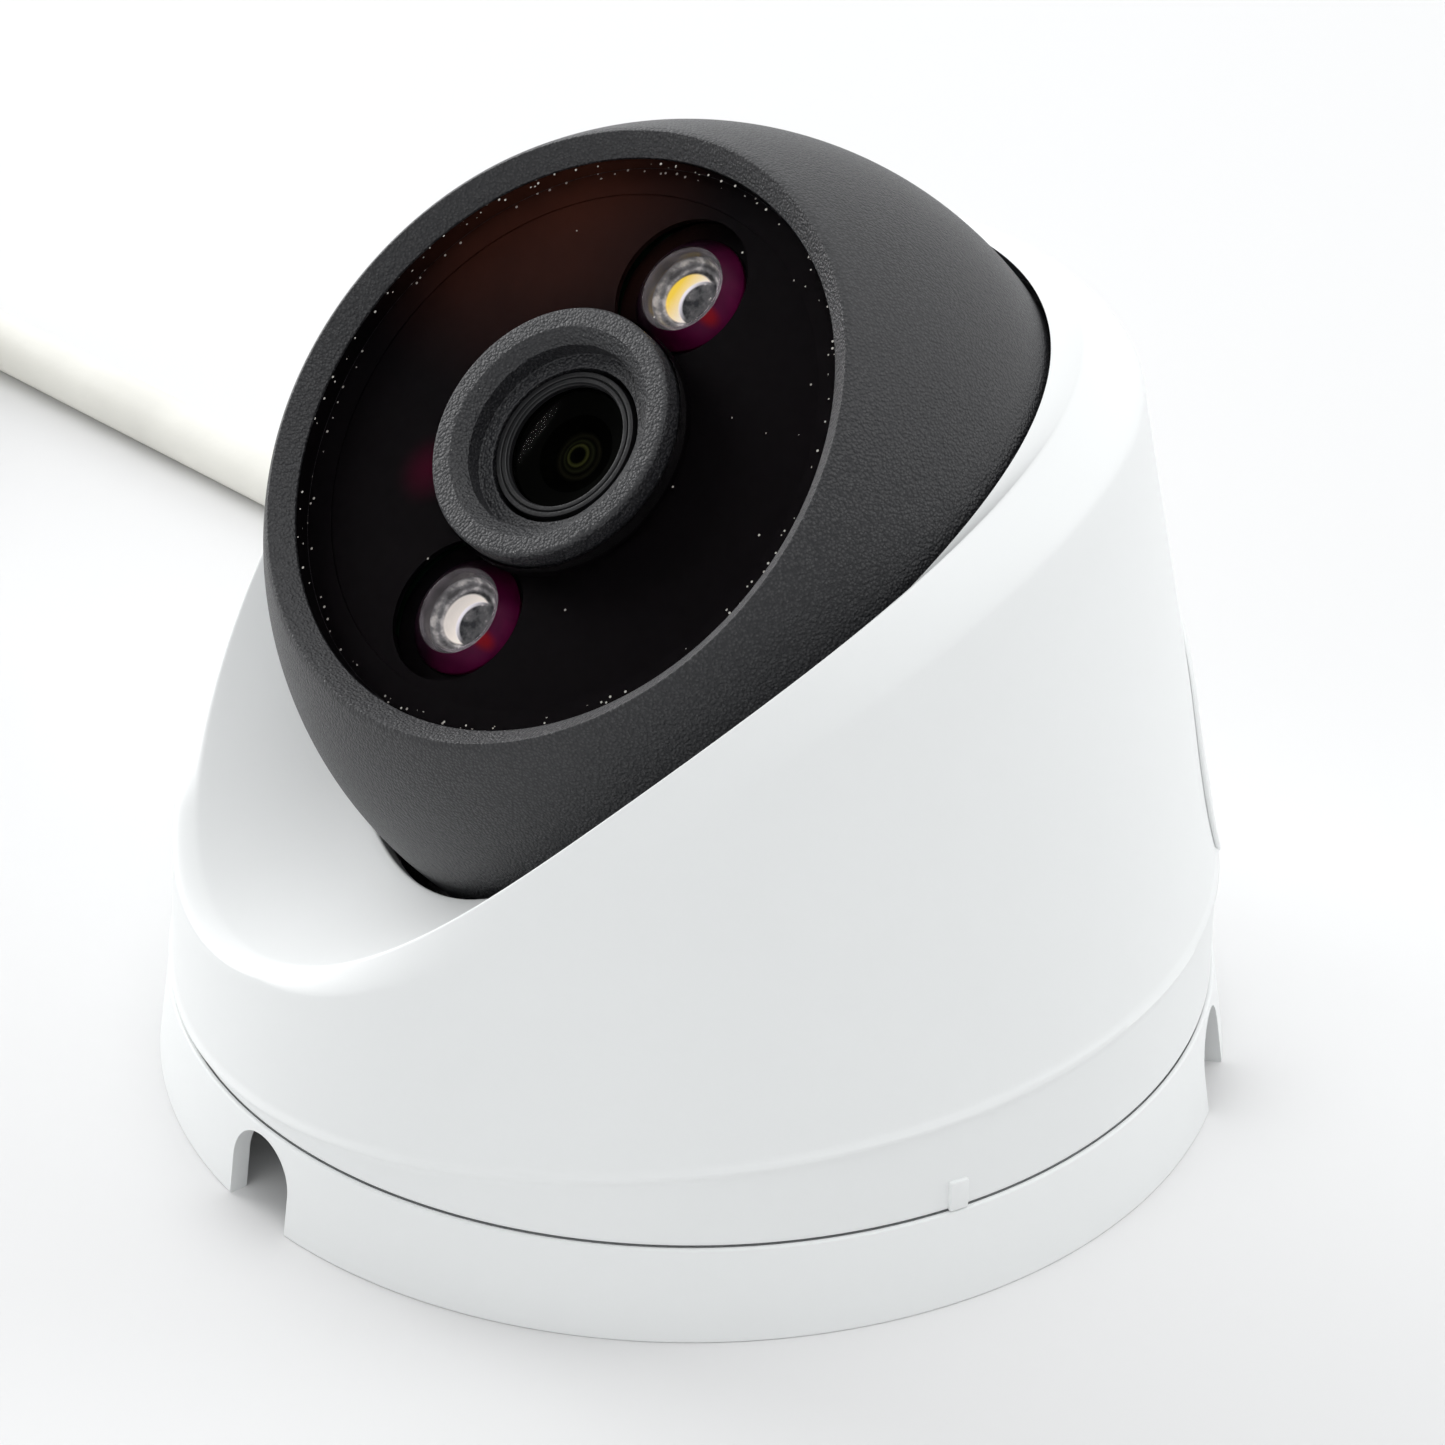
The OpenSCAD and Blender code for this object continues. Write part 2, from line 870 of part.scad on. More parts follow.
// Clear collimating lens: a bowl with a low dome inside its mouth, on a wider flange.
module lamp_lens(side) {
    color([0.8, 0.8, 0.85])
    head_frame()
    translate([0, side * lamp_x, 0])
    rotate_extrude($fn = 64)
    polygon([
        [0, 18.3], [2.6, 18.6], [3.1, 17.4], [3.9, 18.6], [5.9, 20.4], [5.9, 21.3],
        [4.4, 21.3], [4.4, 22.4], [4, 22.4], [3.2, 21.2], [2.2, 21.6], [0, 21.9]
    ]);
}

module heat_sink() {
    color(steel)
    head_frame()
    difference() {
        disc(sink_r, sink_z[0], sink_z[1]);
        disc(bore_r, sink_z[0] - 1, sink_z[1] + 1);
        for (i = [-3 : 3])
        translate([i * fin_pitch - fin_gap / 2, -30, 10])
        cube([fin_gap, 60, 3.4]);
    }
}

module main_board() {
    color(green)
    head_frame()
    disc(main_board_r, main_board_z, main_board_z + board_t);
}

module board_pillars() {
    color(brass)
    head_frame()
    for (x = [-1, 1], y = [-1, 1])
    translate([x * pillar_reach, y * pillar_reach, main_board_z + board_t + 0.05])
    cylinder(r = pillar_r, h = 10.2, $fn = 6);
}

base_plate();
seal_ring();
pan_retainer();
retainer_screws();
cable_gland();
tail_cable();
cable_coil();
tail_end();
lan_socket();
lan_contacts();
cover_shell();
pan_ring();
socket_ring();
socket_screws();
rear_badge();
index_tab();
swivel_bow();
friction_band();
tilt_shoe();
front_shell();
rear_shell();
shell_seal();
shell_screws();
front_glass();
mask_plate();
lens_hood();
lens_barrel();
lens_front_ring();
lens_front_element();
lens_iris();
lens_rear_element();
lens_holder();
filter_slide();
sensor_board();
image_sensor();
board_socket();
lamp_board();
lamp_chip(1);  // lamp_chip_upper
lamp_chip(-1);  // lamp_chip_lower
lamp_lens(1);  // lamp_lens_upper
lamp_lens(-1);  // lamp_lens_lower
heat_sink();
main_board();
board_pillars();
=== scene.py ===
"""Dome security camera: materials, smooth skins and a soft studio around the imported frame."""
import json
import math

import bmesh
import bpy
from mathutils import Matrix, Vector


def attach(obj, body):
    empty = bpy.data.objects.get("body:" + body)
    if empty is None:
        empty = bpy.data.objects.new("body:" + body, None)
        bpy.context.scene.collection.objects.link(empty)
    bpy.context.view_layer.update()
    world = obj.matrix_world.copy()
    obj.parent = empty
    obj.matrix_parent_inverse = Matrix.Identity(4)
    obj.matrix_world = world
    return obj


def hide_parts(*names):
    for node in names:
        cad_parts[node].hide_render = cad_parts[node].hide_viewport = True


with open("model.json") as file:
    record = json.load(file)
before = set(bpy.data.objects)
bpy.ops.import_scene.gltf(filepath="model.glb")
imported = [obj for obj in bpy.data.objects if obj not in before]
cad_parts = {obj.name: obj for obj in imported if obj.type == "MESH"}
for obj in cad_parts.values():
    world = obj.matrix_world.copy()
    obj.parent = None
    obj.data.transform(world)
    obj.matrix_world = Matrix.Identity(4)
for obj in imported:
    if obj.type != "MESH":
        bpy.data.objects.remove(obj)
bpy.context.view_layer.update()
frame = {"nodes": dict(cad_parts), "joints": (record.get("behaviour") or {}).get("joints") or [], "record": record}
MM = 0.001

# ---------------------------------------------------------------- frames of reference

JOINTS = {joint["name"]: joint for joint in frame["joints"]}


def basis(centre, z_axis, x_hint):
    """A matrix at centre with local +Z along z_axis and +X as near x_hint as it can be."""
    z = Vector(z_axis).normalized()
    y = z.cross(Vector(x_hint)).normalized()
    x = y.cross(z)
    rows = Matrix((x, y, z)).transposed().to_4x4()
    return Matrix.Translation(centre) @ rows


BALL = Vector(JOINTS["head_roll"]["pos_m"])
HEAD = basis(BALL, JOINTS["head_roll"]["axis"], JOINTS["filter_switch"]["axis"])
OPENING = basis(BALL, JOINTS["head_swivel"]["axis"], (1, 0, 0))

# ---------------------------------------------------------------- camera

VIEW_TURN = math.radians(70.646)
VIEW_RISE = math.radians(30.607)
VIEW_ROLL = math.radians(0.303)
VIEW_DISTANCE = 0.5
VIEW_LENS = 126.53
SENSOR_WIDTH = 36
VIEW_TARGET = Vector((8.883, 0.116, 40.717)) * MM


def make_camera():
    back = Vector((
        math.sin(VIEW_TURN) * math.cos(VIEW_RISE),
        -math.cos(VIEW_TURN) * math.cos(VIEW_RISE),
        math.sin(VIEW_RISE),
    ))
    right = Vector((math.cos(VIEW_TURN), math.sin(VIEW_TURN), 0))
    up = back.cross(right)
    x = right * math.cos(VIEW_ROLL) + up * math.sin(VIEW_ROLL)
    y = up * math.cos(VIEW_ROLL) - right * math.sin(VIEW_ROLL)
    data = bpy.data.cameras.new("camera")
    data.sensor_width = SENSOR_WIDTH
    data.lens = VIEW_LENS
    data.clip_start = 0.01
    data.clip_end = 20
    camera = bpy.data.objects.new("camera", data)
    bpy.context.scene.collection.objects.link(camera)
    camera.matrix_world = (
        Matrix.Translation(VIEW_TARGET + back * VIEW_DISTANCE)
        @ Matrix((x, y, back)).transposed().to_4x4()
    )
    bpy.context.scene.camera = camera


make_camera()

# ---------------------------------------------------------------- materials


class Shader:
    """A small helper that wires a node material."""

    def __init__(self, name, frame_matrix=None):
        self.material = bpy.data.materials.new(name)
        self.material.use_nodes = True
        self.tree = self.material.node_tree
        self.surface = self.tree.nodes["Principled BSDF"]
        self.output = self.tree.nodes["Material Output"]
        self.place = self.node("ShaderNodeTexCoord").outputs["Object"]
        if frame_matrix is not None:
            into = self.node("ShaderNodeMapping", vector_type="TEXTURE")
            self.link(self.place, into.inputs["Vector"])
            into.inputs["Location"].default_value = frame_matrix.translation
            into.inputs["Rotation"].default_value = frame_matrix.to_euler()
            self.place = into.outputs["Vector"]

    def node(self, kind, **settings):
        made = self.tree.nodes.new(kind)
        for key, value in settings.items():
            setattr(made, key, value)
        return made

    def link(self, source, target):
        self.tree.links.new(source, target)

    def put(self, socket, value):
        if isinstance(value, bpy.types.NodeSocket):
            self.link(value, socket)
        else:
            socket.default_value = value

    def set(self, **values):
        for key, value in values.items():
            self.put(self.surface.inputs[key.replace("_", " ")], value)
        return self

    def noise(self, scale, detail=2.0, roughness=0.5, vector=None):
        made = self.node("ShaderNodeTexNoise")
        made.inputs["Scale"].default_value = scale
        made.inputs["Detail"].default_value = detail
        made.inputs["Roughness"].default_value = roughness
        self.link(vector or self.place, made.inputs["Vector"])
        return made.outputs["Fac"]

    def cells(self, scale, output="Distance"):
        made = self.node("ShaderNodeTexVoronoi")
        made.inputs["Scale"].default_value = scale
        self.link(self.place, made.inputs["Vector"])
        return made.outputs[output]

    def math(self, operation, a, b=0.0, c=0.0):
        made = self.node("ShaderNodeMath", operation=operation)
        for socket, value in zip(made.inputs, (a, b, c)):
            self.put(socket, value)
        return made.outputs[0]

    def spread(self, value, low, high, new_low=0.0, new_high=1.0, smooth=False):
        made = self.node("ShaderNodeMapRange")
        if smooth:
            made.interpolation_type = "SMOOTHSTEP"
        self.put(made.inputs["Value"], value)
        limits = {"From Min": low, "From Max": high, "To Min": new_low, "To Max": new_high}
        for name, number in limits.items():
            made.inputs[name].default_value = number
        return made.outputs["Result"]

    def ramp(self, value, *stops):
        made = self.node("ShaderNodeValToRGB")
        elements = made.color_ramp.elements
        while len(elements) < len(stops):
            elements.new(0.5)
        for element, (place, color) in zip(elements, stops):
            element.position = place
            element.color = (*color, 1)
        self.put(made.inputs["Fac"], value)
        return made.outputs["Color"]

    def mix(self, amount, a, b):
        made = self.node("ShaderNodeMix", data_type="RGBA")
        self.put(made.inputs[0], amount)
        self.put(made.inputs[6], a if isinstance(a, bpy.types.NodeSocket) else (*a, 1))
        self.put(made.inputs[7], b if isinstance(b, bpy.types.NodeSocket) else (*b, 1))
        return made.outputs[2]

    def bump(self, height, distance, strength=1.0, over=None):
        made = self.node("ShaderNodeBump")
        made.inputs["Strength"].default_value = strength
        made.inputs["Distance"].default_value = distance
        self.put(made.inputs["Height"], height)
        if over is not None:
            self.link(over, made.inputs["Normal"])
        self.link(made.outputs["Normal"], self.surface.inputs["Normal"])
        return made.outputs["Normal"]

    def axes(self):
        made = self.node("ShaderNodeSeparateXYZ")
        self.link(self.place, made.inputs[0])
        return made.outputs

    def radius(self, x=0.0, y=0.0):
        """Distance from a line parallel to local Z through x, y."""
        across = self.axes()
        dx = self.math("SUBTRACT", across[0], x)
        dy = self.math("SUBTRACT", across[1], y)
        squares = [self.math("MULTIPLY", d, d) for d in (dx, dy)]
        return self.math("SQRT", self.math("ADD", *squares))

    def outer_gloss(self, ior):
        """Share of light a clear face mirrors by angle, counted only where it is entered."""
        face = self.node("ShaderNodeFresnel")
        face.inputs["IOR"].default_value = ior
        side = self.node("ShaderNodeNewGeometry").outputs["Backfacing"]
        return self.math("MULTIPLY", face.outputs[0], self.math("SUBTRACT", 1.0, side))

    def specks(self, scale, size, share):
        """1 on sparse small dots: a share of the cells each hold one, of a size in cell widths."""
        near = self.math("LESS_THAN", self.cells(scale), size)
        picked = self.node("ShaderNodeSeparateColor")
        self.link(self.cells(scale, "Color"), picked.inputs[0])
        return self.math("MULTIPLY", near, self.math("LESS_THAN", picked.outputs[0], share))


def housing_material(name, color, dirt=1.0):
    s = Shader(name)
    cloud = s.noise(28, 3, 0.6)
    tone = s.ramp(cloud, (0.3, [c * 0.985 for c in color]), (0.7, color))
    marks = s.specks(90, 0.035, 0.018 * dirt)
    s.set(Base_Color=s.mix(s.math("MULTIPLY", marks, 0.6), tone, (0.28, 0.3, 0.3)))
    s.set(Roughness=s.spread(s.noise(900, 3), 0.3, 0.7, 0.4, 0.5))
    s.set(Specular_IOR_Level=0.42)
    grain = s.math("ADD", s.noise(2600, 2), s.math("MULTIPLY", s.noise(420, 2), 0.5))
    s.bump(grain, 0.00002, 0.35)
    return s.material


def ball_material(name, base=0.0095, grain_height=0.00011, dust_scale=420, dust_share=0.012):
    """Charcoal plastic with the fine pebbled grain of spark-eroded tooling, the grain's tops painted pale as
    painted glints.
    """
    s = Shader(name)
    pebbles = s.math("SUBTRACT", 1.0, s.cells(3300))
    fine = s.noise(4600, 2, 0.6)
    grain = s.math("ADD", pebbles, s.math("MULTIPLY", fine, 0.8))
    cloud = s.noise(60, 3)
    dark = [base * 0.85, base * 0.87, base * 1.06]
    pale = [base * 1.2, base * 1.22, base * 1.45]
    tone = s.ramp(cloud, (0.3, dark), (0.7, pale))
    # Painted highlight: where the pebbles and fine grain peak, the base colour turns pale grey as painted glints.
    painted_glint = s.spread(s.math("MULTIPLY", pebbles, fine), 0.22, 0.5, 0.0, 1.0)
    tone = s.mix(s.math("MULTIPLY", painted_glint, 0.85), tone, [base * 5.0, base * 5.0, base * 5.2])
    dust = s.specks(dust_scale, 0.09, dust_share)
    s.set(Base_Color=s.mix(s.math("MULTIPLY", dust, 0.55), tone, (0.55, 0.55, 0.52)))
    s.set(Roughness=s.spread(fine, 0.35, 0.65, 0.38, 0.5))
    s.set(Specular_IOR_Level=0.5)
    s.bump(grain, grain_height, 1.0)
    return s.material


def plain_material(name, color, roughness=0.5, metallic=0.0, scale=700, bump=0.00002, spec=0.5):
    """Moulded or plated stuff: a slight mottle in colour and gloss over a fine grain."""
    s = Shader(name)
    s.set(Base_Color=s.ramp(s.noise(scale * 0.15, 3), (0.3, [c * 0.9 for c in color]), (0.7, color)))
    s.set(Roughness=s.spread(s.noise(scale, 3), 0.3, 0.7, roughness * 0.85, min(roughness * 1.15, 1)))
    s.set(Metallic=metallic, Specular_IOR_Level=spec)
    s.bump(s.noise(scale * 3, 2), bump, 0.5)
    return s.material


def turned_material(name, color, roughness, pitch=0.00035, depth=0.00005, metallic=0.0):
    """Turned parts: fine rings around local Z."""
    s = Shader(name, HEAD)
    rings = s.math("SINE", s.math("MULTIPLY", s.axes()[2], 2 * math.pi / pitch))
    s.set(Base_Color=s.ramp(s.noise(500, 2), (0.3, [c * 0.85 for c in color]), (0.7, color)))
    gloss = s.spread(s.noise(1500, 2), 0.3, 0.7, roughness * 0.9, roughness * 1.1)
    s.set(Roughness=gloss, Metallic=metallic)
    s.bump(s.math("ADD", s.math("MULTIPLY", rings, 0.5), s.noise(4000, 2)), depth, 0.5)
    return s.material


PANE_BORDER = (0.0283, 0.0297)


def window_material(name):
    """A clear pane: gloss by angle, with dust along its border and a little loose on its face."""
    s = Shader(name, HEAD)
    clear = s.node("ShaderNodeBsdfTransparent")
    clear.inputs["Color"].default_value = (0.93, 0.91, 0.92, 1)
    gloss = s.node("ShaderNodeBsdfGlossy")
    gloss.inputs["Roughness"].default_value = 0.02
    smear = s.noise(40, 3, 0.6)
    s.put(gloss.inputs["Color"], s.ramp(smear, (0.35, (0.75, 0.72, 0.72)), (0.7, (0.95, 0.92, 0.92))))
    both = s.node("ShaderNodeMixShader")
    s.link(s.outer_gloss(1.4), both.inputs[0])
    s.link(clear.outputs[0], both.inputs[1])
    s.link(gloss.outputs[0], both.inputs[2])
    dust = s.node("ShaderNodeBsdfDiffuse")
    dust.inputs["Color"].default_value = (0.62, 0.6, 0.55, 1)
    border = s.spread(s.radius(), *PANE_BORDER)
    crumbs = s.math("MULTIPLY", s.specks(1700, 0.22, 0.45), s.math("GREATER_THAN", border, 0.45))
    loose = s.math("MAXIMUM", s.specks(420, 0.06, 0.03), s.specks(900, 0.1, 0.02))
    amount = s.math("MINIMUM", s.math("MULTIPLY", s.math("MAXIMUM", crumbs, loose), 0.75), 1.0)
    top = s.node("ShaderNodeMixShader")
    s.put(top.inputs[0], amount)
    s.link(both.outputs[0], top.inputs[1])
    s.link(dust.outputs[0], top.inputs[2])
    s.link(top.outputs[0], s.output.inputs["Surface"])
    s.tree.nodes.remove(s.surface)
    return s.material


def clear_material(name, tint=(0.93, 0.92, 0.95), ior=1.45, haze=0.06):
    """Clear moulding: see-through with gloss and a little haze."""
    s = Shader(name)
    clear = s.node("ShaderNodeBsdfTransparent")
    s.put(clear.inputs["Color"], s.mix(s.noise(300, 2), tint, [c * 0.94 for c in tint]))
    gloss = s.node("ShaderNodeBsdfGlossy")
    gloss.inputs["Roughness"].default_value = 0.08
    fog = s.node("ShaderNodeBsdfDiffuse")
    fog.inputs["Color"].default_value = (0.8, 0.8, 0.82, 1)
    inner = s.node("ShaderNodeMixShader")
    s.put(inner.inputs[0], s.spread(s.noise(700, 3), 0.3, 0.7, haze * 0.6, haze * 1.4))
    s.link(clear.outputs[0], inner.inputs[1])
    s.link(fog.outputs[0], inner.inputs[2])
    both = s.node("ShaderNodeMixShader")
    s.link(s.outer_gloss(ior), both.inputs[0])
    s.link(inner.outputs[0], both.inputs[1])
    s.link(gloss.outputs[0], both.inputs[2])
    s.link(both.outputs[0], s.output.inputs["Surface"])
    s.tree.nodes.remove(s.surface)
    return s.material


def mask_material(name):
    """Black print behind the window, with a faint painted red-brown glow towards its upper left and a small
    painted magenta glow.
    """
    s = Shader(name, HEAD)
    # Painted glow: a faint red-brown light painted into the black print towards the upper left.
    painted_red_glow = s.spread(s.radius(-0.0225, 0.0215), 0.004, 0.024, 1.0, 0.0, smooth=True)
    cloud = s.spread(s.noise(90, 2), 0.3, 0.7, 0.75, 1.0)
    tone = s.mix(s.math("MULTIPLY", painted_red_glow, cloud), (0.002, 0.0015, 0.002), (0.045, 0.014, 0.008))
    # Painted glow: a small magenta patch of light painted into the black print.
    glow = s.spread(s.radius(-0.0132, -0.0088), 0.0, 0.0042, 1.0, 0.0, smooth=True)
    tone = s.mix(s.math("MULTIPLY", glow, 0.8), tone, (0.05, 0.0, 0.012))
    s.set(Base_Color=tone, Roughness=s.spread(s.noise(900, 2), 0.3, 0.7, 0.6, 0.7), Specular_IOR_Level=0.05)
    return s.material


def lamp_flange_material(name, lamp):
    """Lens flange seen through the window's infrared ink: deep magenta, painted darker towards one side as painted
    shade, with a painted red glow at the other.
    """
    s = Shader(name, lamp)
    across = s.axes()
    # Painted shade: the magenta fades to near black towards local -X.
    side = s.spread(across[0], -0.001, 0.0045, 0.02, 1.0)
    cloud = s.spread(s.noise(420, 3, 0.6), 0.3, 0.7, 0.6, 1.0)
    tone = s.ramp(s.math("MULTIPLY", side, cloud), (0.0, (0.006, 0.0, 0.004)), (1.0, (0.13, 0.0, 0.052)))
    # Painted glow: a small bright red spot near the flange's +X edge.
    painted_core_glow = s.spread(s.radius(0.0045, -0.001), 0.0003, 0.0012, 1.0, 0.0, smooth=True)
    s.set(Base_Color=s.mix(painted_core_glow, tone, (0.3, 0.0, 0.01)))
    s.set(Roughness=s.spread(cloud, 0.6, 1.0, 0.35, 0.5), Specular_IOR_Level=0.2)
    return s.material


def lamp_bowl_material(name, lamp, bright):
    """Lamp face: a bright phosphor disc, partly covered by a painted dark reflection with a painted white
    highlight on its edge, all emitted as a painted glow.
    """
    s = Shader(name, lamp)
    swirl = s.noise(650, 3, 0.65)
    around = s.radius()
    rings = s.math("SINE", s.math("MULTIPLY", around, 9000.0))
    tone = s.ramp(s.math("ADD", swirl, s.math("MULTIPLY", rings, 0.12)),
                  (0.3, (0.035, 0.036, 0.036)), (0.55, (0.14, 0.145, 0.145)), (0.75, (0.42, 0.42, 0.4)))
    disc = s.spread(s.radius(-0.0002, -0.0002), 0.00245, 0.0027, 1.0, 0.0, smooth=True)
    deep = s.spread(s.axes()[0], -0.0022, 0.0008)
    tone = s.mix(disc, tone, s.mix(deep, bright, (1.0, 0.97, 0.86)))
    # Painted reflection: a dark round patch with grey streaks laid over the phosphor disc.
    reflection_reach = s.radius(0.0013, -0.0001)
    dark = s.spread(reflection_reach, 0.0022, 0.0024, 1.0, 0.0, smooth=True)
    streak = s.ramp(swirl, (0.35, (0.03, 0.033, 0.035)), (0.6, (0.12, 0.125, 0.125)),
                    (0.75, (0.5, 0.48, 0.45)))
    tone = s.mix(dark, tone, streak)
    # Painted highlight: a white arc along one side of the dark patch's edge.
    edge = s.math("MULTIPLY", s.spread(reflection_reach, 0.0019, 0.0021), s.spread(reflection_reach, 0.0023, 0.0025, 1.0, 0.0))
    edge = s.math("MULTIPLY", edge, s.spread(s.axes()[0], -0.001, 0.001, 1.0, 0.0))
    tone = s.mix(edge, tone, (0.95, 0.96, 1.0))
    s.set(Base_Color=tone, Roughness=s.spread(swirl, 0.3, 0.7, 0.15, 0.3), Specular_IOR_Level=0.5)
    # Painted glow: the face emits its own painted colour.
    s.set(Emission_Color=tone, Emission_Strength=0.5)
    return s.material


LENS_SIGHT_R = 0.0026


def lens_inside_material(name):
    """Down the lens: black, then painted reflections as a dim coated ring and a pale ring, and the dark stop."""
    s = Shader(name, HEAD)
    around = s.radius()
    swirl = s.noise(900, 2)
    # Painted reflections: pale and dim rings by distance from the lens axis.
    tone = s.ramp(s.math("DIVIDE", around, LENS_SIGHT_R), (0.0, (0.002, 0.002, 0.002)),
                  (0.3, (0.004, 0.005, 0.003)), (0.42, (0.2, 0.2, 0.07)), (0.5, (0.012, 0.012, 0.006)),
                  (0.62, (0.07, 0.07, 0.04)), (0.72, (0.006, 0.006, 0.005)), (0.85, (0.05, 0.045, 0.03)),
                  (1.0, (0.002, 0.002, 0.002)))
    s.set(Base_Color=s.mix(s.math("MULTIPLY", swirl, 0.3), tone, (0.003, 0.003, 0.003)))
    s.set(Roughness=s.spread(swirl, 0.3, 0.7, 0.5, 0.6), Specular_IOR_Level=0.03)
    return s.material


LAMP_Y = 18.6
LAMPS = {
    "upper": (HEAD @ Matrix.Translation((0, LAMP_Y * MM, 0)), (1.0, 0.72, 0.08)),
    "lower": (HEAD @ Matrix.Translation((0, -LAMP_Y * MM, 0)), (0.75, 0.73, 0.66)),
}

WHITE = housing_material("housing_white", (0.885, 0.9, 0.897))
BADGE = housing_material("badge_white", (0.86, 0.875, 0.872), 0.2)
CHARCOAL = ball_material("ball_charcoal")
HOOD_GRAIN = ball_material("hood_charcoal", 0.0105, 0.00012, 1500, 0.1)
RUBBER = plain_material("black_rubber", (0.02, 0.02, 0.021), 0.7)
STEEL = plain_material("plated_steel", (0.55, 0.56, 0.58), 0.3, 1.0)
BRASS = plain_material("plated_brass", (0.7, 0.52, 0.2), 0.3, 1.0)
CABLE = plain_material("cable_jacket", (0.86, 0.85, 0.79), 0.5, 0.0, 500, 0.00004)
SOCKET = plain_material("socket_black", (0.018, 0.018, 0.02), 0.4)
BOARD = plain_material("board_green", (0.02, 0.12, 0.05), 0.35)
CHIP = plain_material("sensor_dark", (0.03, 0.03, 0.05), 0.2)
CREAM = plain_material("plug_cream", (0.75, 0.72, 0.62), 0.5)
FINS = plain_material("heat_sink_grey", (0.6, 0.61, 0.63), 0.4, 1.0)
MASK = mask_material("window_mask")
WINDOW = window_material("window_tint")
LENS_METAL = turned_material("lens_black", (0.012, 0.012, 0.013), 0.38)
LENS_GLASS = clear_material("lens_coated", (0.62, 0.63, 0.6), 1.06, 0.0)
LENS_INSIDE = lens_inside_material("lens_inside")
LAMP_CLEAR = clear_material("lamp_clear", (0.9, 0.86, 0.89), 1.45, 0.12)
FILTER = clear_material("filter_tint", (0.5, 0.2, 0.25), 1.5, 0.0)
SEAL = plain_material("seal_silicone", (0.5, 0.51, 0.52), 0.6)
PHOSPHOR = plain_material("phosphor", (0.9, 0.66, 0.05), 0.5)

SLOT_MATERIALS = {
    "housing": WHITE, "badge": BADGE, "ball": CHARCOAL, "hood": HOOD_GRAIN, "mask": MASK,
    "window": WINDOW, "lens_metal": LENS_METAL, "lens_glass": LENS_GLASS, "lamp_lens": LAMP_CLEAR,
    "phosphor": PHOSPHOR, "filter": FILTER, "board": BOARD, "sensor": CHIP, "plug_white": CREAM,
    "heat_sink": FINS, "steel": STEEL, "contact": BRASS, "rubber": RUBBER, "cable": CABLE,
    "socket_black": SOCKET,
}
for part in frame["record"]["subparts"]:
    for holder in frame["nodes"][part["node"]].material_slots:
        holder.material = SLOT_MATERIALS[part["material_slot"]]
for holder in frame["nodes"]["seal_ring"].material_slots:
    holder.material = SEAL

# ---------------------------------------------------------------- making pieces


def link_piece(name, mesh, material, body, nodes=(), matrix=None, smooth=True):
    piece = bpy.data.objects.new(name, mesh)
    bpy.context.scene.collection.objects.link(piece)
    if matrix is not None:
        mesh.transform(matrix)
    mesh.materials.append(material)
    if smooth:
        for polygon in mesh.polygons:
            polygon.use_smooth = True
    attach(piece, body)
    if nodes:
        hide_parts(*nodes)
    return piece


def grid_mesh(name, columns):
    """Closed columns of points, joined side by side and all the way round into one skin."""
    count = len(columns)
    rows = len(columns[0])
    points = [p for column in columns for p in column]
    faces = []
    for i in range(count):
        j = (i + 1) % count
        for k in range(rows):
            n = (k + 1) % rows
            faces.append((i * rows + k, i * rows + n, j * rows + n, j * rows + k))
    mesh = bpy.data.meshes.new(name)
    mesh.from_pydata(points, [], faces)
    tidy = bmesh.new()
    tidy.from_mesh(mesh)
    bmesh.ops.remove_doubles(tidy, verts=tidy.verts, dist=1e-7)
    bmesh.ops.recalc_face_normals(tidy, faces=tidy.faces)
    tidy.to_mesh(mesh)
    tidy.free()
    mesh.update()
    return mesh


def fillet(corners, steps=4):
    """A closed or open outline of (r, z, radius) corners, each rounded to its radius, in mm."""
    line = []
    count = len(corners)
    for i, (r, z, radius) in enumerate(corners):
        here = Vector((r, z))
        before = Vector(corners[i - 1][:2])
        after = Vector(corners[(i + 1) % count][:2])
        if radius <= 0:
            line.append(here)
            continue
        a = (before - here).normalized()
        b = (after - here).normalized()
        half = a.angle(b) / 2
        cut = min(radius / math.tan(half), 0.48 * (before - here).length, 0.48 * (after - here).length)
        start = here + a * cut
        end = here + b * cut
        for k in range(steps + 1):
            u = k / steps
            line.append(start * (1 - u) ** 2 + here * 2 * u * (1 - u) + end * u * u)
    return line


def arc(radius, first, last, steps):
    """Outline points on a circle about the origin, by angle from local +Z, in mm."""
    points = []
    for k in range(steps + 1):
        angle = math.radians(first + (last - first) * k / steps)
        points.append((radius * math.sin(angle), radius * math.cos(angle), 0))
    return points


def turned(name, corners, material, body, nodes=(), matrix=HEAD, segments=192, sharp=35):
    """A solid of revolution about local Z from a closed outline of corners in mm."""
    line = fillet(corners)
    columns = []
    for i in range(segments):
        turn = 2 * math.pi * i / segments
        columns.append([(p.x * math.cos(turn) * MM, p.x * math.sin(turn) * MM, p.y * MM) for p in line])
    mesh = grid_mesh(name, columns)
    piece = link_piece(name, mesh, material, body, nodes, matrix)
    mark_sharp(mesh, sharp)
    return piece


def mark_sharp(mesh, degrees):
    """Edges that turn more than an angle stay crisp on a smooth skin."""
    limit = math.radians(degrees)
    work = bmesh.new()
    work.from_mesh(mesh)
    for edge in work.edges:
        if len(edge.link_faces) == 2 and edge.calc_face_angle(0) > limit:
            edge.smooth = False
    work.to_mesh(mesh)
    work.free()


def around(azimuth, radius):
    """A place by azimuth from -Y towards +X and distance from the axis."""
    turn = math.radians(azimuth)
    return radius * math.sin(turn), -radius * math.cos(turn)


def block(low, high):
    """A plain block between two corners, in mm."""
    work = bmesh.new()
    bmesh.ops.create_cube(work, size=1)
    middle = (Vector(low) + Vector(high)) / 2
    size = Vector(high) - Vector(low)
    for vert in work.verts:
        vert.co = Vector([middle[i] + vert.co[i] * size[i] for i in range(3)])
    return work


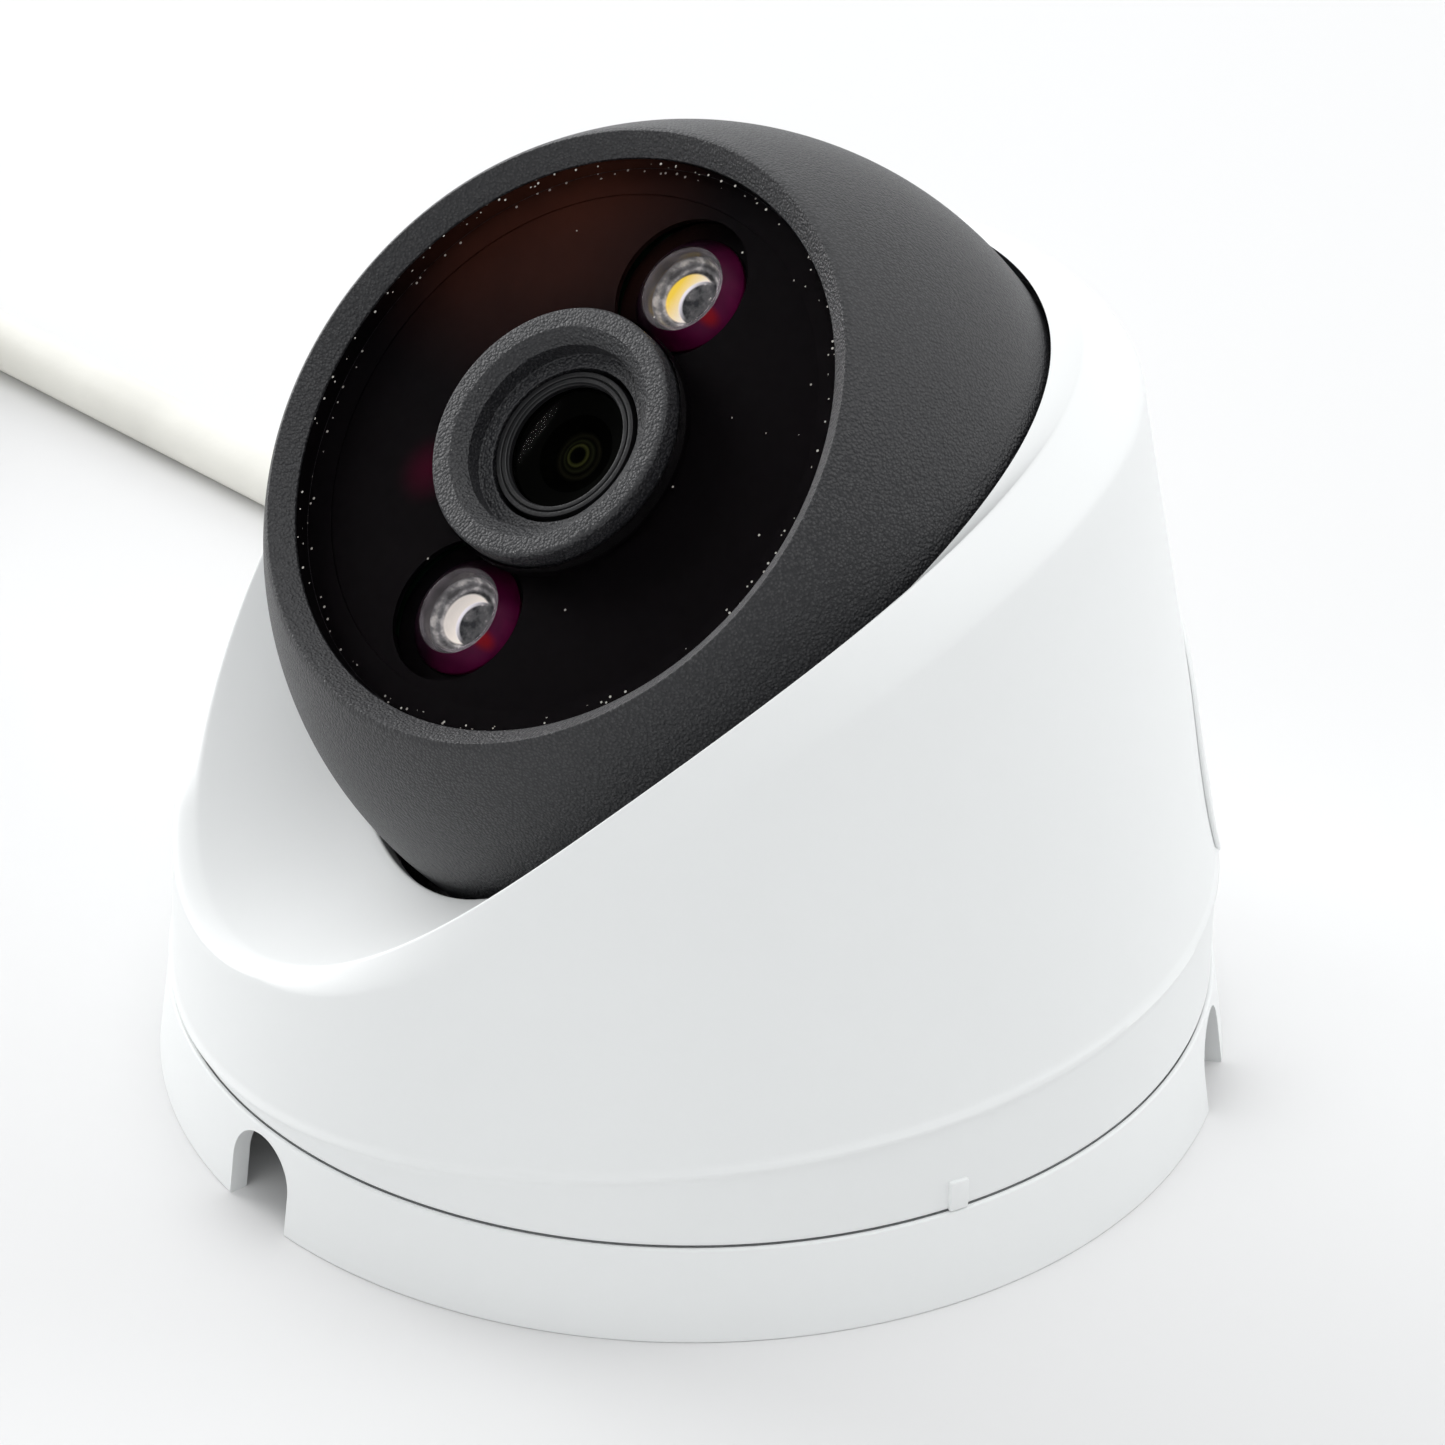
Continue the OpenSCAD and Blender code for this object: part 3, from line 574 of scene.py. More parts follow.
def as_mesh(name, work, matrix=None):
    """The mesh of a bmesh that was made in mm, in metres and moved by a matrix."""
    for vert in work.verts:
        vert.co = vert.co * MM if matrix is None else matrix @ (vert.co * MM)
    mesh = bpy.data.meshes.new(name)
    work.to_mesh(mesh)
    work.free()
    return mesh


def chamfered_block(name, low, high, edge, material, body, slot, nodes, matrix=None):
    """A block with rounded edges between two corners, in mm."""
    work = block(low, high)
    bmesh.ops.bevel(work, geom=work.edges[:], offset=edge, segments=3, profile=0.5, affect="EDGES")
    mesh = as_mesh(name, work)
    piece = link_piece(name, mesh, material, body, nodes, matrix)
    mark_sharp(mesh, 50)
    return piece


def as_cutter(name, mesh):
    """An object that is only used to cut with, and is gone once it has."""
    made = bpy.data.objects.new(name, mesh)
    bpy.context.scene.collection.objects.link(made)
    return made


def box_cutter(low, high, matrix):
    """A plain block used only to cut with, in mm."""
    return as_cutter("box_cutter", as_mesh("box_cutter", block(low, high), matrix))


def round_cutter(x, y, radius, low, high, matrix=None):
    """A plain cylinder used only to cut with, in mm."""
    work = bmesh.new()
    bmesh.ops.create_cone(work, cap_ends=True, segments=96, radius1=radius, radius2=radius,
                          depth=high - low)
    for vert in work.verts:
        vert.co += Vector((x, y, (low + high) / 2))
    return as_cutter("round_cutter", as_mesh("round_cutter", work, matrix))


def cut_away(piece, cutters):
    """Subtracts the cutters from a piece and bakes the result into its mesh."""
    for cutter in cutters:
        tool = piece.modifiers.new("cut", "BOOLEAN")
        tool.operation = "DIFFERENCE"
        tool.solver = "EXACT"
        tool.object = cutter
    bpy.context.view_layer.update()
    depsgraph = bpy.context.evaluated_depsgraph_get()
    baked = bpy.data.meshes.new_from_object(piece.evaluated_get(depsgraph))
    piece.modifiers.clear()
    piece.data = baked
    for cutter in cutters:
        bpy.data.objects.remove(cutter)
    mark_sharp(baked, 30)

# ---------------------------------------------------------------- tail cable

CABLE_R = 3.5
TAIL_ROUTE = [
    (-22, 2.3), (-38, 4), (-55, 5.8), (-66, 6.3), (-79, 5.3), (-92, 2.4), (-104, -2.4),
    (-115, -7.7), (-126, -13), (-141, -20.3), (-157, -28.1), (-172, -35.4), (-188, -43.2),
    (-203.5, -50.7),
]
COIL_CENTRE = (-187.8, -83.1)
COIL_R = 36
COIL_START = math.radians(115.9)
COIL_TURNS = 1.5
CLIMB_FROM = 240
CLIMB_OVER = 90
STEPS_PER_TURN = 24
END_ROUTE = [(-163, -111.1, 10.3), (-154, -106.8, 9.3), (-145, -102.4, 8)]


def smoothed(value):
    value = min(max(value, 0.0), 1.0)
    return value * value * (3 - 2 * value)


def coil_points():
    """The turns of the coil: the second climbs onto the first before it would meet it."""
    points = []
    steps = int(COIL_TURNS * STEPS_PER_TURN)
    for k in range(1, steps + 1):
        turn = COIL_TURNS * 360 * k / steps
        angle = COIL_START + math.radians(turn)
        rise = smoothed((turn - CLIMB_FROM) / CLIMB_OVER) * 2 * CABLE_R
        points.append((
            COIL_CENTRE[0] + COIL_R * math.cos(angle),
            COIL_CENTRE[1] + COIL_R * math.sin(angle),
            CABLE_R + rise,
        ))
    return points


def flowing(points, per_span=5):
    """A smooth curve through every point."""
    line = []
    for i in range(len(points) - 1):
        p = [Vector(points[min(max(i + k, 0), len(points) - 1)]) for k in (-1, 0, 1, 2)]
        for step in range(per_span):
            u = step / per_span
            place = 0.5 * (
                2 * p[1] + (p[2] - p[0]) * u
                + (2 * p[0] - 5 * p[1] + 4 * p[2] - p[3]) * u * u
                + (3 * p[1] - p[0] - 3 * p[2] + p[3]) * u ** 3
            )
            place.z = max(place.z, CABLE_R)
            line.append(place)
    line.append(Vector(points[-1]))
    return line


def make_cable():
    route = [(x, y, CABLE_R) for x, y in TAIL_ROUTE] + coil_points() + END_ROUTE
    line = [p * MM for p in flowing(route)]
    data = bpy.data.curves.new("tail_cable_jacket", "CURVE")
    data.dimensions = "3D"
    data.bevel_depth = CABLE_R * MM
    data.bevel_resolution = 6
    data.use_fill_caps = True
    spline = data.splines.new("POLY")
    spline.points.add(len(line) - 1)
    for point, place in zip(spline.points, line):
        point.co = (*place, 1)
    spline.use_smooth = True
    cable = bpy.data.objects.new("tail_cable_jacket", data)
    bpy.context.scene.collection.objects.link(cable)
    data.materials.append(CABLE)
    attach(cable, "base")
    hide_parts("tail_cable", "cable_coil", "tail_end")
    length = sum((b - a).length for a, b in zip(line, line[1:]))
    return cable, line, length


cable, cable_line, cable_length = make_cable()

# ---------------------------------------------------------------- in-line socket

SOCKET_HEADING = math.radians(25.8)
SOCKET_PLACE = (Matrix.Translation((END_ROUTE[-1][0] * MM, END_ROUTE[-1][1] * MM, 0))
                @ Matrix.Rotation(SOCKET_HEADING, 4, "Z"))
SOCKET_BOX = ((8, -9, 0), (44, 9, 15))
SOCKET_ROUND = 1.2
SOCKET_MOUTH = ((31, -6, 3), (46, 6, 10))
SOCKET_LATCH = ((31, -3, 9.9), (46, 3, 12.3))
GRIP_PLACES = (12, 15, 18, 21, 24)
GRIP_WIDTH = 1.2
GRIP_RISE = (3, 12)
GRIP_REACH = (8.4, 10)
NECK_R = 4.2
NECK_Z = 8
NECK_GROWTH = 0.3
NECK_RIBS = (1.6, 3.6, 5.6)
NECK_END_R = 6.6
NECK_LENGTH = 8.1


def make_socket():
    """The network socket's moulding: rounded, with finger grooves, a latched mouth and a ribbed neck."""
    body = chamfered_block("lan_socket_body", *SOCKET_BOX, SOCKET_ROUND, SOCKET, "base", "socket_black",
                           ["lan_socket"], SOCKET_PLACE)
    cutters = [box_cutter(*hole, SOCKET_PLACE) for hole in (SOCKET_MOUTH, SOCKET_LATCH)]
    low, high = GRIP_RISE
    near, far = GRIP_REACH
    for x in GRIP_PLACES:
        for y0, y1 in ((-far, -near), (near, far)):
            cutters.append(box_cutter((x, y0, low), (x + GRIP_WIDTH, y1, high), SOCKET_PLACE))
    cut_away(body, cutters)
    outline = [(0.01, 0, 0), (NECK_R, 0, 0.3)]
    for start in NECK_RIBS:
        r = NECK_R + NECK_GROWTH * start
        outline += [(r, start, 0.15), (r - 0.6, start + 0.1, 0.1), (r - 0.6, start + 0.9, 0.1),
                    (r + 0.25, start + 1, 0.15)]
    outline += [(NECK_END_R, NECK_LENGTH, 0), (0.01, NECK_LENGTH, 0)]
    centre = Matrix.Translation((0, 0, NECK_Z * MM))
    along = SOCKET_PLACE @ centre @ Matrix.Rotation(math.radians(90), 4, "Y")
    neck = turned("lan_socket_neck", outline, SOCKET, "base", [], along, 96)
    return [body, neck, "lan_contacts"]


socket_pieces = make_socket()

# ---------------------------------------------------------------- cover


def rim_height(t):
    return 6.1 + 6.3 * math.cos(t) - 5.9 * math.cos(2 * t) - 0.3 * math.cos(3 * t)


def rim_reach(t):
    return (48 + 5.9 * math.cos(t) + 2.9 * math.cos(2 * t) + 1.1 * math.cos(3 * t)
            + 0.6 * math.cos(4 * t))


def edge_height(t):
    return 2.8 + 0.7 * math.cos(t) - 4.8 * math.cos(2 * t)


def opening_point(height, reach, t):
    """A point by height along the opening's axis and reach from it, in mm."""
    place = Vector((reach * math.sin(t), -reach * math.cos(t), height)) * MM
    return (OPENING @ place) / MM


LIP_R = 53.2
LIP_Z = 10.0
WALL = 2.0
EDGE_R = 42.45
SNUG_EDGE = 0.45
INNER_R = 42.6
SHOULDER = 6.8
RIDGE_LIFT = 0.38
RIDGE_HALF = 0.5
LIP_EASE = 0.12
LIP_ROUND = ((0.4, 0), (0.12, 0.08), (0, 0.35))
BAND_LEAST = 2
RIM_CRISP = 0.35
EDGE_CRISP = 0.3
CONE_Z = 9
CONE_R = 54.5
CONE_FALL = 0.122
CONE_SHIFT = 1.2
CONE_LEAN = 0.067


def cone_radius(z):
    return CONE_R - CONE_FALL * (z - CONE_Z)


def cone_centre(z):
    return CONE_SHIFT - CONE_LEAN * (z - CONE_Z)


def cone_reach(a, z):
    """How far the leaning wall stands from the base's axis, at an azimuth and a height."""
    r = cone_radius(z)
    c = cone_centre(z)
    return -c * math.cos(a) + math.sqrt(r * r - (c * math.sin(a)) ** 2)


def polar(a, r, z):
    return Vector((r * math.sin(a), -r * math.cos(a), z))


def bezier(a, b, c, u):
    return a * (1 - u) ** 2 + b * 2 * u * (1 - u) + c * u * u


def ridge_z(a):
    """The height at which the leaning wall meets the lip's straight side."""
    return CONE_Z + (CONE_R - CONE_SHIFT * math.cos(a) - LIP_R) / (CONE_FALL - CONE_LEAN * math.cos(a))


def lip_point(a, z):
    """The lip's straight side and the leaning wall, with a soft raised line where the two meet."""
    gap = cone_reach(a, z) - LIP_R
    raised = RIDGE_LIFT * math.exp(-((z - ridge_z(a)) / RIDGE_HALF) ** 2)
    return LIP_R + 0.5 * (gap - math.sqrt(gap * gap + LIP_EASE * LIP_EASE)) + raised


def cover_column(t):
    """Every point of one column, from the lip's outer edge over the rim to its inner edge."""
    rim = opening_point(rim_height(t), rim_reach(t), t)
    a = math.atan2(rim.x, -rim.y)
    reach = math.hypot(rim.x, rim.y)
    folded = math.degrees(min(t, 2 * math.pi - t))
    band = BAND_LEAST + (SHOULDER - BAND_LEAST) * smoothed(folded / 75)
    gap = min(max(cone_reach(a, rim.z) - reach, 0.05), 0.9 * band)
    shoulder = rim.z - math.sqrt(band * band - gap * gap)
    top = polar(a, cone_reach(a, shoulder), shoulder)
    knee_z = shoulder + 0.25 * band
    knee = polar(a, cone_reach(a, knee_z), knee_z)
    low = max(LIP_Z + 1.4, min(ridge_z(a), shoulder - 4))
    snug = SNUG_EDGE * smoothed((folded - 60) / 60)
    edge = opening_point(edge_height(t), EDGE_R - snug, t)
    front = smoothed(1 - folded / 70)
    sag = (edge + rim) / 2 - Vector((0, 0, 1.5 * front + 0.4))
    inner_h = edge_height(t) - 2
    inner = opening_point(inner_h, math.sqrt(INNER_R ** 2 - inner_h ** 2), t)
    under = polar(a, reach - WALL + 0.55 * gap, rim.z - 2.7 - 2 * abs(math.sin(t)))
    wall_z = shoulder - 3

    line = [polar(a, LIP_R - inset, LIP_Z + rise) for inset, rise in LIP_ROUND]
    start = LIP_Z + 0.6
    dense = min(ridge_z(a) + 2.5, 0.5 * (start + shoulder))
    for low_z, high_z, steps in ((start, dense, 32), (dense, shoulder, 16)):
        for k in range(steps):
            z = low_z + (high_z - low_z) * k / steps
            line.append(polar(a, lip_point(a, z), z))
    band_line = [bezier(top, knee, rim, k / 12) for k in range(13)]
    scoop_line = [bezier(rim, sag, edge, k / 16) for k in range(17)]
    into = (rim - band_line[-2]).normalized()
    out = (scoop_line[1] - rim).normalized()
    line += band_line[:-1]
    for k in range(5):
        line.append(bezier(rim - into * RIM_CRISP, rim, rim + out * RIM_CRISP, k / 4))
    line += scoop_line[1:-1]
    fall = (inner - edge).normalized()
    arrive = (edge - scoop_line[-2]).normalized()
    for k in range(5):
        line.append(bezier(edge - arrive * EDGE_CRISP, edge, edge + fall * EDGE_CRISP, k / 4))
    line += [inner, (inner + under) / 2, under, polar(a, cone_reach(a, wall_z) - WALL, wall_z)]
    for u in (0.5, 1):
        z = wall_z + (low + 1 - wall_z) * u
        line.append(polar(a, cone_reach(a, z) - WALL - 0.2 * u, z))
    line += [polar(a, LIP_R - 2.5, max(low - 2, LIP_Z + 0.6)), polar(a, LIP_R - 2.5, LIP_Z)]
    return [p * MM for p in line]


def make_cover(segments=288):
    columns = [cover_column(2 * math.pi * i / segments) for i in range(segments)]
    mesh = grid_mesh("cover_skin", columns)
    link_piece("cover_skin", mesh, WHITE, "cover", ["cover_shell"])
    mark_sharp(mesh, 50)


make_cover()

# ---------------------------------------------------------------- base

BASE_R = 55.0
BASE_TOP_R = 53.6
BASE_H = 9.6
SKIRT_H = 9.85
NOTCHES = (20, 148, 264)
NOTCH_R = 4.6
NOTCH_Z = 4.4
NOTCH_SPAN = (50.5, 57)
PLATE_Z = 7.2
GROOVE_Z = 9.2
GROOVE_R = (50.45, 53.05)
HUB_R = (36, 40)
HUB_TOP = 13.6
CENTRE_HOLE_R = 9.3
FIXING_R = 31
FIXING_TURNS = (45, 135, 225, 315)
FIXING_HOLE_R = 2.3
FIXING_BOSS_R = 5.5
RETAINER_R = 38.2
RETAINER_TURNS = (0, 120, 240)
RETAINER_HOLE_R = 1.1


def notch_cutter(azimuth):
    """A horizontal half-round slot through the skirt, open at the bottom."""
    outline = [(-NOTCH_R, -1), (NOTCH_R, -1)]
    for k in range(25):
        angle = math.pi * k / 24
        outline.append((NOTCH_R * math.cos(angle), NOTCH_Z + NOTCH_R * math.sin(angle)))
    turn = math.radians(azimuth)
    out = Vector((math.sin(turn), -math.cos(turn), 0))
    side = Vector((math.cos(turn), math.sin(turn), 0))
    work = bmesh.new()
    rings = []
    for reach in NOTCH_SPAN:
        rings.append([work.verts.new(out * reach + side * x + Vector((0, 0, z))) for x, z in outline])
    count = len(outline)
    for k in range(count):
        n = (k + 1) % count
        work.faces.new((rings[0][k], rings[0][n], rings[1][n], rings[1][k]))
    work.faces.new(rings[0][::-1])
    work.faces.new(rings[1])
    bmesh.ops.recalc_face_normals(work, faces=work.faces)
    return as_cutter("notch", as_mesh("notch", work))


def make_base():
    corners = [
        (BASE_R, 0, 0.25), (BASE_TOP_R, SKIRT_H, 0.35), (53.1, SKIRT_H, 0.1), (GROOVE_R[1], GROOVE_Z, 0),
        (GROOVE_R[0], GROOVE_Z, 0), (GROOVE_R[0], BASE_H, 0.1), (HUB_R[1], BASE_H, 0.2),
        (HUB_R[1], HUB_TOP, 0.3), (HUB_R[0], HUB_TOP, 0.3), (HUB_R[0], BASE_H, 0.2),
        (CENTRE_HOLE_R, BASE_H, 0.2), (CENTRE_HOLE_R, PLATE_Z, 0.2), (52, PLATE_Z, 0.4), (53, 0, 0.2),
    ]
    base = turned("base_skin", corners, WHITE, "base", ["base_plate"], Matrix.Identity(4), 288)
    holes = [around(angle, FIXING_R) for angle in FIXING_TURNS]
    screws = [around(angle, RETAINER_R) for angle in RETAINER_TURNS]
    cutters = [notch_cutter(a) for a in NOTCHES]
    cutters += [round_cutter(x, y, FIXING_HOLE_R, -1, 12) for x, y in holes]
    cutters += [round_cutter(x, y, RETAINER_HOLE_R, BASE_H, 15) for x, y in screws]
    cut_away(base, cutters)
    boss = [(FIXING_HOLE_R, 0, 0.2), (FIXING_BOSS_R, 0, 0.3), (FIXING_BOSS_R, PLATE_Z, 0),
            (FIXING_HOLE_R, PLATE_Z, 0)]
    for k, (x, y) in enumerate(holes):
        turned(f"fixing_boss_{k + 1}", boss, WHITE, "base", [],
               Matrix.Translation((x * MM, y * MM, 0)), 64)


make_base()
TAB_TURN = Matrix.Rotation(math.radians(99.4), 4, "Z")
chamfered_block("index_tab_moulding", (-1, -53.65, 10), (1, -53.1, 13.3), 0.15, WHITE, "cover", "housing",
                ["index_tab"], TAB_TURN)

# ---------------------------------------------------------------- head

BALL_R = 41.55
GLASS_Z = 24.6
PANE_THICKNESS = 1.9
PANE_R = 29.65
PANE_HOLE_R = 13.3
LAMP_OPENING_R = 7.3
SHELL_IN_R = BALL_R - 2.2
RIM_ANGLE = math.degrees(math.asin(32.0 / BALL_R)) + 0.6
SPLIT_ANGLE = math.degrees(math.acos(-6 / BALL_R))
SPLIT_IN_ANGLE = 98.8
DOME_EDGE = 6.25
DOME_STEP = 0.52
DOME_TOP = 23.4
DOME_CURVE = 30

# Outlines about the lens's axis: radius, height above the ball's centre and corner rounding, in mm.
SHELL_SEAT = [(31.75, 26.55, 0.15), (29.75, 24.75, 0.12), (29.75, 22.6, 0.05), (27.5, 22.6, 0.1),
              (27.5, 20.6, 0.1)]
HOOD = [(11.5, 18.5, 0.1), (11.5, 22.58, 0.1), (13, 22.58, 0.1), (13, 26.6, 0.55), (10.9, 26.6, 0.12),
        (9.5, 25.45, 0.12), (9.5, 23.5, 0.15), (8, 23.5, 0.15), (8, 18.5, 0.1)]
MASK_PLATE = [(11.7, 22, 0), (27.3, 22, 0), (27.3, 22.55, 0.1), (11.7, 22.55, 0.1)]
MASK_BORDER = [(26.9, 22.6, 0), (29.6, 22.6, 0), (29.6, 22.68, 0), (26.9, 22.68, 0)]
LENS_RIM = [(7.55, 22.6, 0.05), (7.55, 23.6, 0.12), (7.1, 23.6, 0.08), (6.98, 23.35, 0.05),
            (6.86, 23.6, 0.08), (6.5, 23.6, 0.1), (6.3, 23.2, 0.1), (6.3, 22.6, 0.05)]
LENS_TUBE = [(5.2, 21.4, 0.1), (5.2, 4, 0.1), (6, 4, 0.1), (6, 17, 0.1), (7.55, 17, 0.1),
             (7.55, 22.6, 0.05), (6.9, 22.6, 0.05), (6.9, 21.4, 0.05)]
LENS_FRONT = [(0.01, 21.4, 0), (6.85, 21.4, 0.1), (6.85, 22.5, 0.1), (6.25, 22.55, 0.05)]
LENS_STOP = [(6.2, 22.2, 0.1), (2.7, 20.9, 0.2), (2.4, 20.6, 0.1), (1.9, 20.7, 0.1), (1.2, 20.95, 0.1),
             (0.01, 21.1, 0), (0.01, 20.2, 0), (5.1, 20.2, 0.1), (6.2, 21.6, 0.1)]
LAMP_FLANGE = [(4.42, 20.4, 0), (5.9, 20.4, 0.1), (5.9, 20.9, 0.15), (4.42, 22.5, 0.05)]
LAMP_COLLAR = [(5.95, 20.2, 0), (7.9, 20.2, 0), (7.9, 20.6, 0.1), (5.95, 20.6, 0.1)]
LAMP_RIM = [(3.95, 20.9, 0), (4.4, 20.9, 0), (4.4, 22.4, 0.12), (4.0, 22.4, 0.12), (3.75, 21.6, 0.15)]
LAMP_BOWL = [(3.95, 21.5, 0.1), (3.5, 20.75, 0.3), (2.7, 20.45, 0.2), (1.4, 20.5, 0.2), (0.01, 20.55, 0),
             (0.01, 18.4, 0), (2.5, 18.6, 0.1), (3.95, 20.2, 0.1)]


def make_shells():
    """The ball's two halves, each a skin of even thickness."""
    front = arc(BALL_R, SPLIT_ANGLE, RIM_ANGLE, 60) + SHELL_SEAT
    front += arc(SHELL_IN_R, 58.2, SPLIT_IN_ANGLE, 20)
    turned("front_shell_skin", front, CHARCOAL, "head", ["front_shell"], HEAD, 320, 40)
    rear = arc(BALL_R, 177, SPLIT_ANGLE, 60) + arc(SHELL_IN_R, SPLIT_IN_ANGLE, 176.8, 40)
    turned("rear_shell_skin", rear, CHARCOAL, "head", ["rear_shell"], HEAD, 256, 40)


def make_window():
    """A flat clear pane with a round opening for the hood; its edges are painted black as painted shade."""
    work = bmesh.new()
    edges = []
    for r, count in ((PANE_R, 192), (PANE_HOLE_R, 128)):
        ring = [work.verts.new((
            r * math.cos(2 * math.pi * k / count) * MM,
            r * math.sin(2 * math.pi * k / count) * MM,
            GLASS_Z * MM,
        )) for k in range(count)]
        edges += [work.edges.new((ring[k], ring[(k + 1) % count])) for k in range(count)]
    bmesh.ops.triangle_fill(work, use_beauty=True, use_dissolve=False, edges=edges)
    faces = work.faces[:]
    grown = bmesh.ops.extrude_face_region(work, geom=faces)
    for item in grown["geom"]:
        if isinstance(item, bmesh.types.BMVert):
            item.co.z = (GLASS_Z - PANE_THICKNESS) * MM
    bmesh.ops.recalc_face_normals(work, faces=work.faces)
    mesh = bpy.data.meshes.new("window_pane")
    work.to_mesh(mesh)
    work.free()
    link_piece("window_pane", mesh, WINDOW, "head", ["front_glass"], HEAD, smooth=False)
    # Painted shade: the pane's side walls take the black mask, standing in for the dark ring of shade around the
    # hood.
    mesh.materials.append(MASK)
    facing = HEAD.to_3x3() @ Vector((0, 0, 1))
    for polygon in mesh.polygons:
        if abs(polygon.normal.dot(facing)) < 0.5:
            polygon.material_index = 1


def make_mask():
    """A thin plate behind the pane with a round opening over each lamp, and its border ring."""
    plate = turned("mask_print", MASK_PLATE, MASK, "head", ["mask_plate"], HEAD, 256)
    cut_away(plate, [round_cutter(0, side * LAMP_Y, LAMP_OPENING_R, 21, 23, HEAD) for side in (-1, 1)])
    turned("mask_border", MASK_BORDER, MASK, "head", [], HEAD, 256)


def make_lens():
    dome = [DOME_EDGE - k * DOME_STEP for k in range(13)]
    front = LENS_FRONT + [(r, DOME_TOP - DOME_CURVE + math.sqrt(DOME_CURVE ** 2 - r ** 2), 0) for r in dome]
    turned("lens_hood_ring", HOOD, HOOD_GRAIN, "head", ["lens_hood"], sharp=60)
    turned("lens_rim", LENS_RIM, LENS_METAL, "head", ["lens_front_ring"])
    turned("lens_tube", LENS_TUBE, LENS_METAL, "head", ["lens_barrel"])
    turned("lens_front_dome", front, LENS_GLASS, "head", ["lens_front_element"])
    turned("lens_stop", LENS_STOP, LENS_INSIDE, "head", ["lens_iris"])


def make_lamp(side):
    """One lamp: a dark-seen flange, a clear rim and the bright bowl inside it."""
    place, bright = LAMPS[side]
    flange = lamp_flange_material(f"lamp_flange_{side}", place)
    glow = lamp_bowl_material(f"lamp_bowl_{side}", place, bright)
    for name, outline, material, slot, nodes in (
        ("flange", LAMP_FLANGE, flange, "lamp_lens", []),
        ("collar", LAMP_COLLAR, MASK, "mask", []),
        ("rim", LAMP_RIM, LAMP_CLEAR, "lamp_lens", [f"lamp_lens_{side}"]),
        ("bowl", LAMP_BOWL, glow, "phosphor", []),
    ):
        turned(f"lamp_{name}_{side}", outline, material, "head", nodes, place, 96)


make_shells()
make_window()
make_mask()
make_lens()
for lamp_side in LAMPS:
    make_lamp(lamp_side)

# ---------------------------------------------------------------- badge

BADGE_TURN = 168
BADGE_HALF_TURN = 14
BADGE_Z = 32
BADGE_HALF_RISE = 13
BADGE_PROFILE = [(1.0, 0.03), (1.0, 0.28), (0.99, 0.42), (0.97, 0.5), (0.93, 0.5), (0.91, 0.42), (0.9, 0.4),
                 (0.6, 0.4), (0.3, 0.4), (0.01, 0.4), (0.01, 0.03), (0.5, 0.03)]


def badge_point(share, angle, lift):
    a = math.radians(BADGE_TURN + BADGE_HALF_TURN * share * math.cos(angle))
    z = BADGE_Z + BADGE_HALF_RISE * share * math.sin(angle)
    return polar(a, cone_reach(a, z) + lift, z) * MM


def make_badge(steps=96):
    """A plain oval plate that follows the wall, with a rounded edge and a raised border."""
    columns = [[badge_point(share, 2 * math.pi * i / steps, lift) for share, lift in BADGE_PROFILE]
               for i in range(steps)]
    mesh = grid_mesh("badge_plate", columns)
    link_piece("badge_plate", mesh, BADGE, "cover", ["rear_badge"])


make_badge()

# ---------------------------------------------------------------- studio


FLOOR_HALF = 6


def make_floor():
    h = FLOOR_HALF
    mesh = bpy.data.meshes.new("floor")
    mesh.from_pydata([(-h, -h, 0), (h, -h, 0), (h, h, 0), (-h, h, 0)], [], [(0, 1, 2, 3)])
    floor = bpy.data.objects.new("floor", mesh)
    bpy.context.scene.collection.objects.link(floor)
    s = Shader("floor_white")
    s.set(Base_Color=s.ramp(s.noise(3, 2), (0.3, (0.77, 0.77, 0.77)), (0.7, (0.79, 0.79, 0.79))))
    s.set(Roughness=0.6, Specular_IOR_Level=0.2)
    mesh.materials.append(s.material)


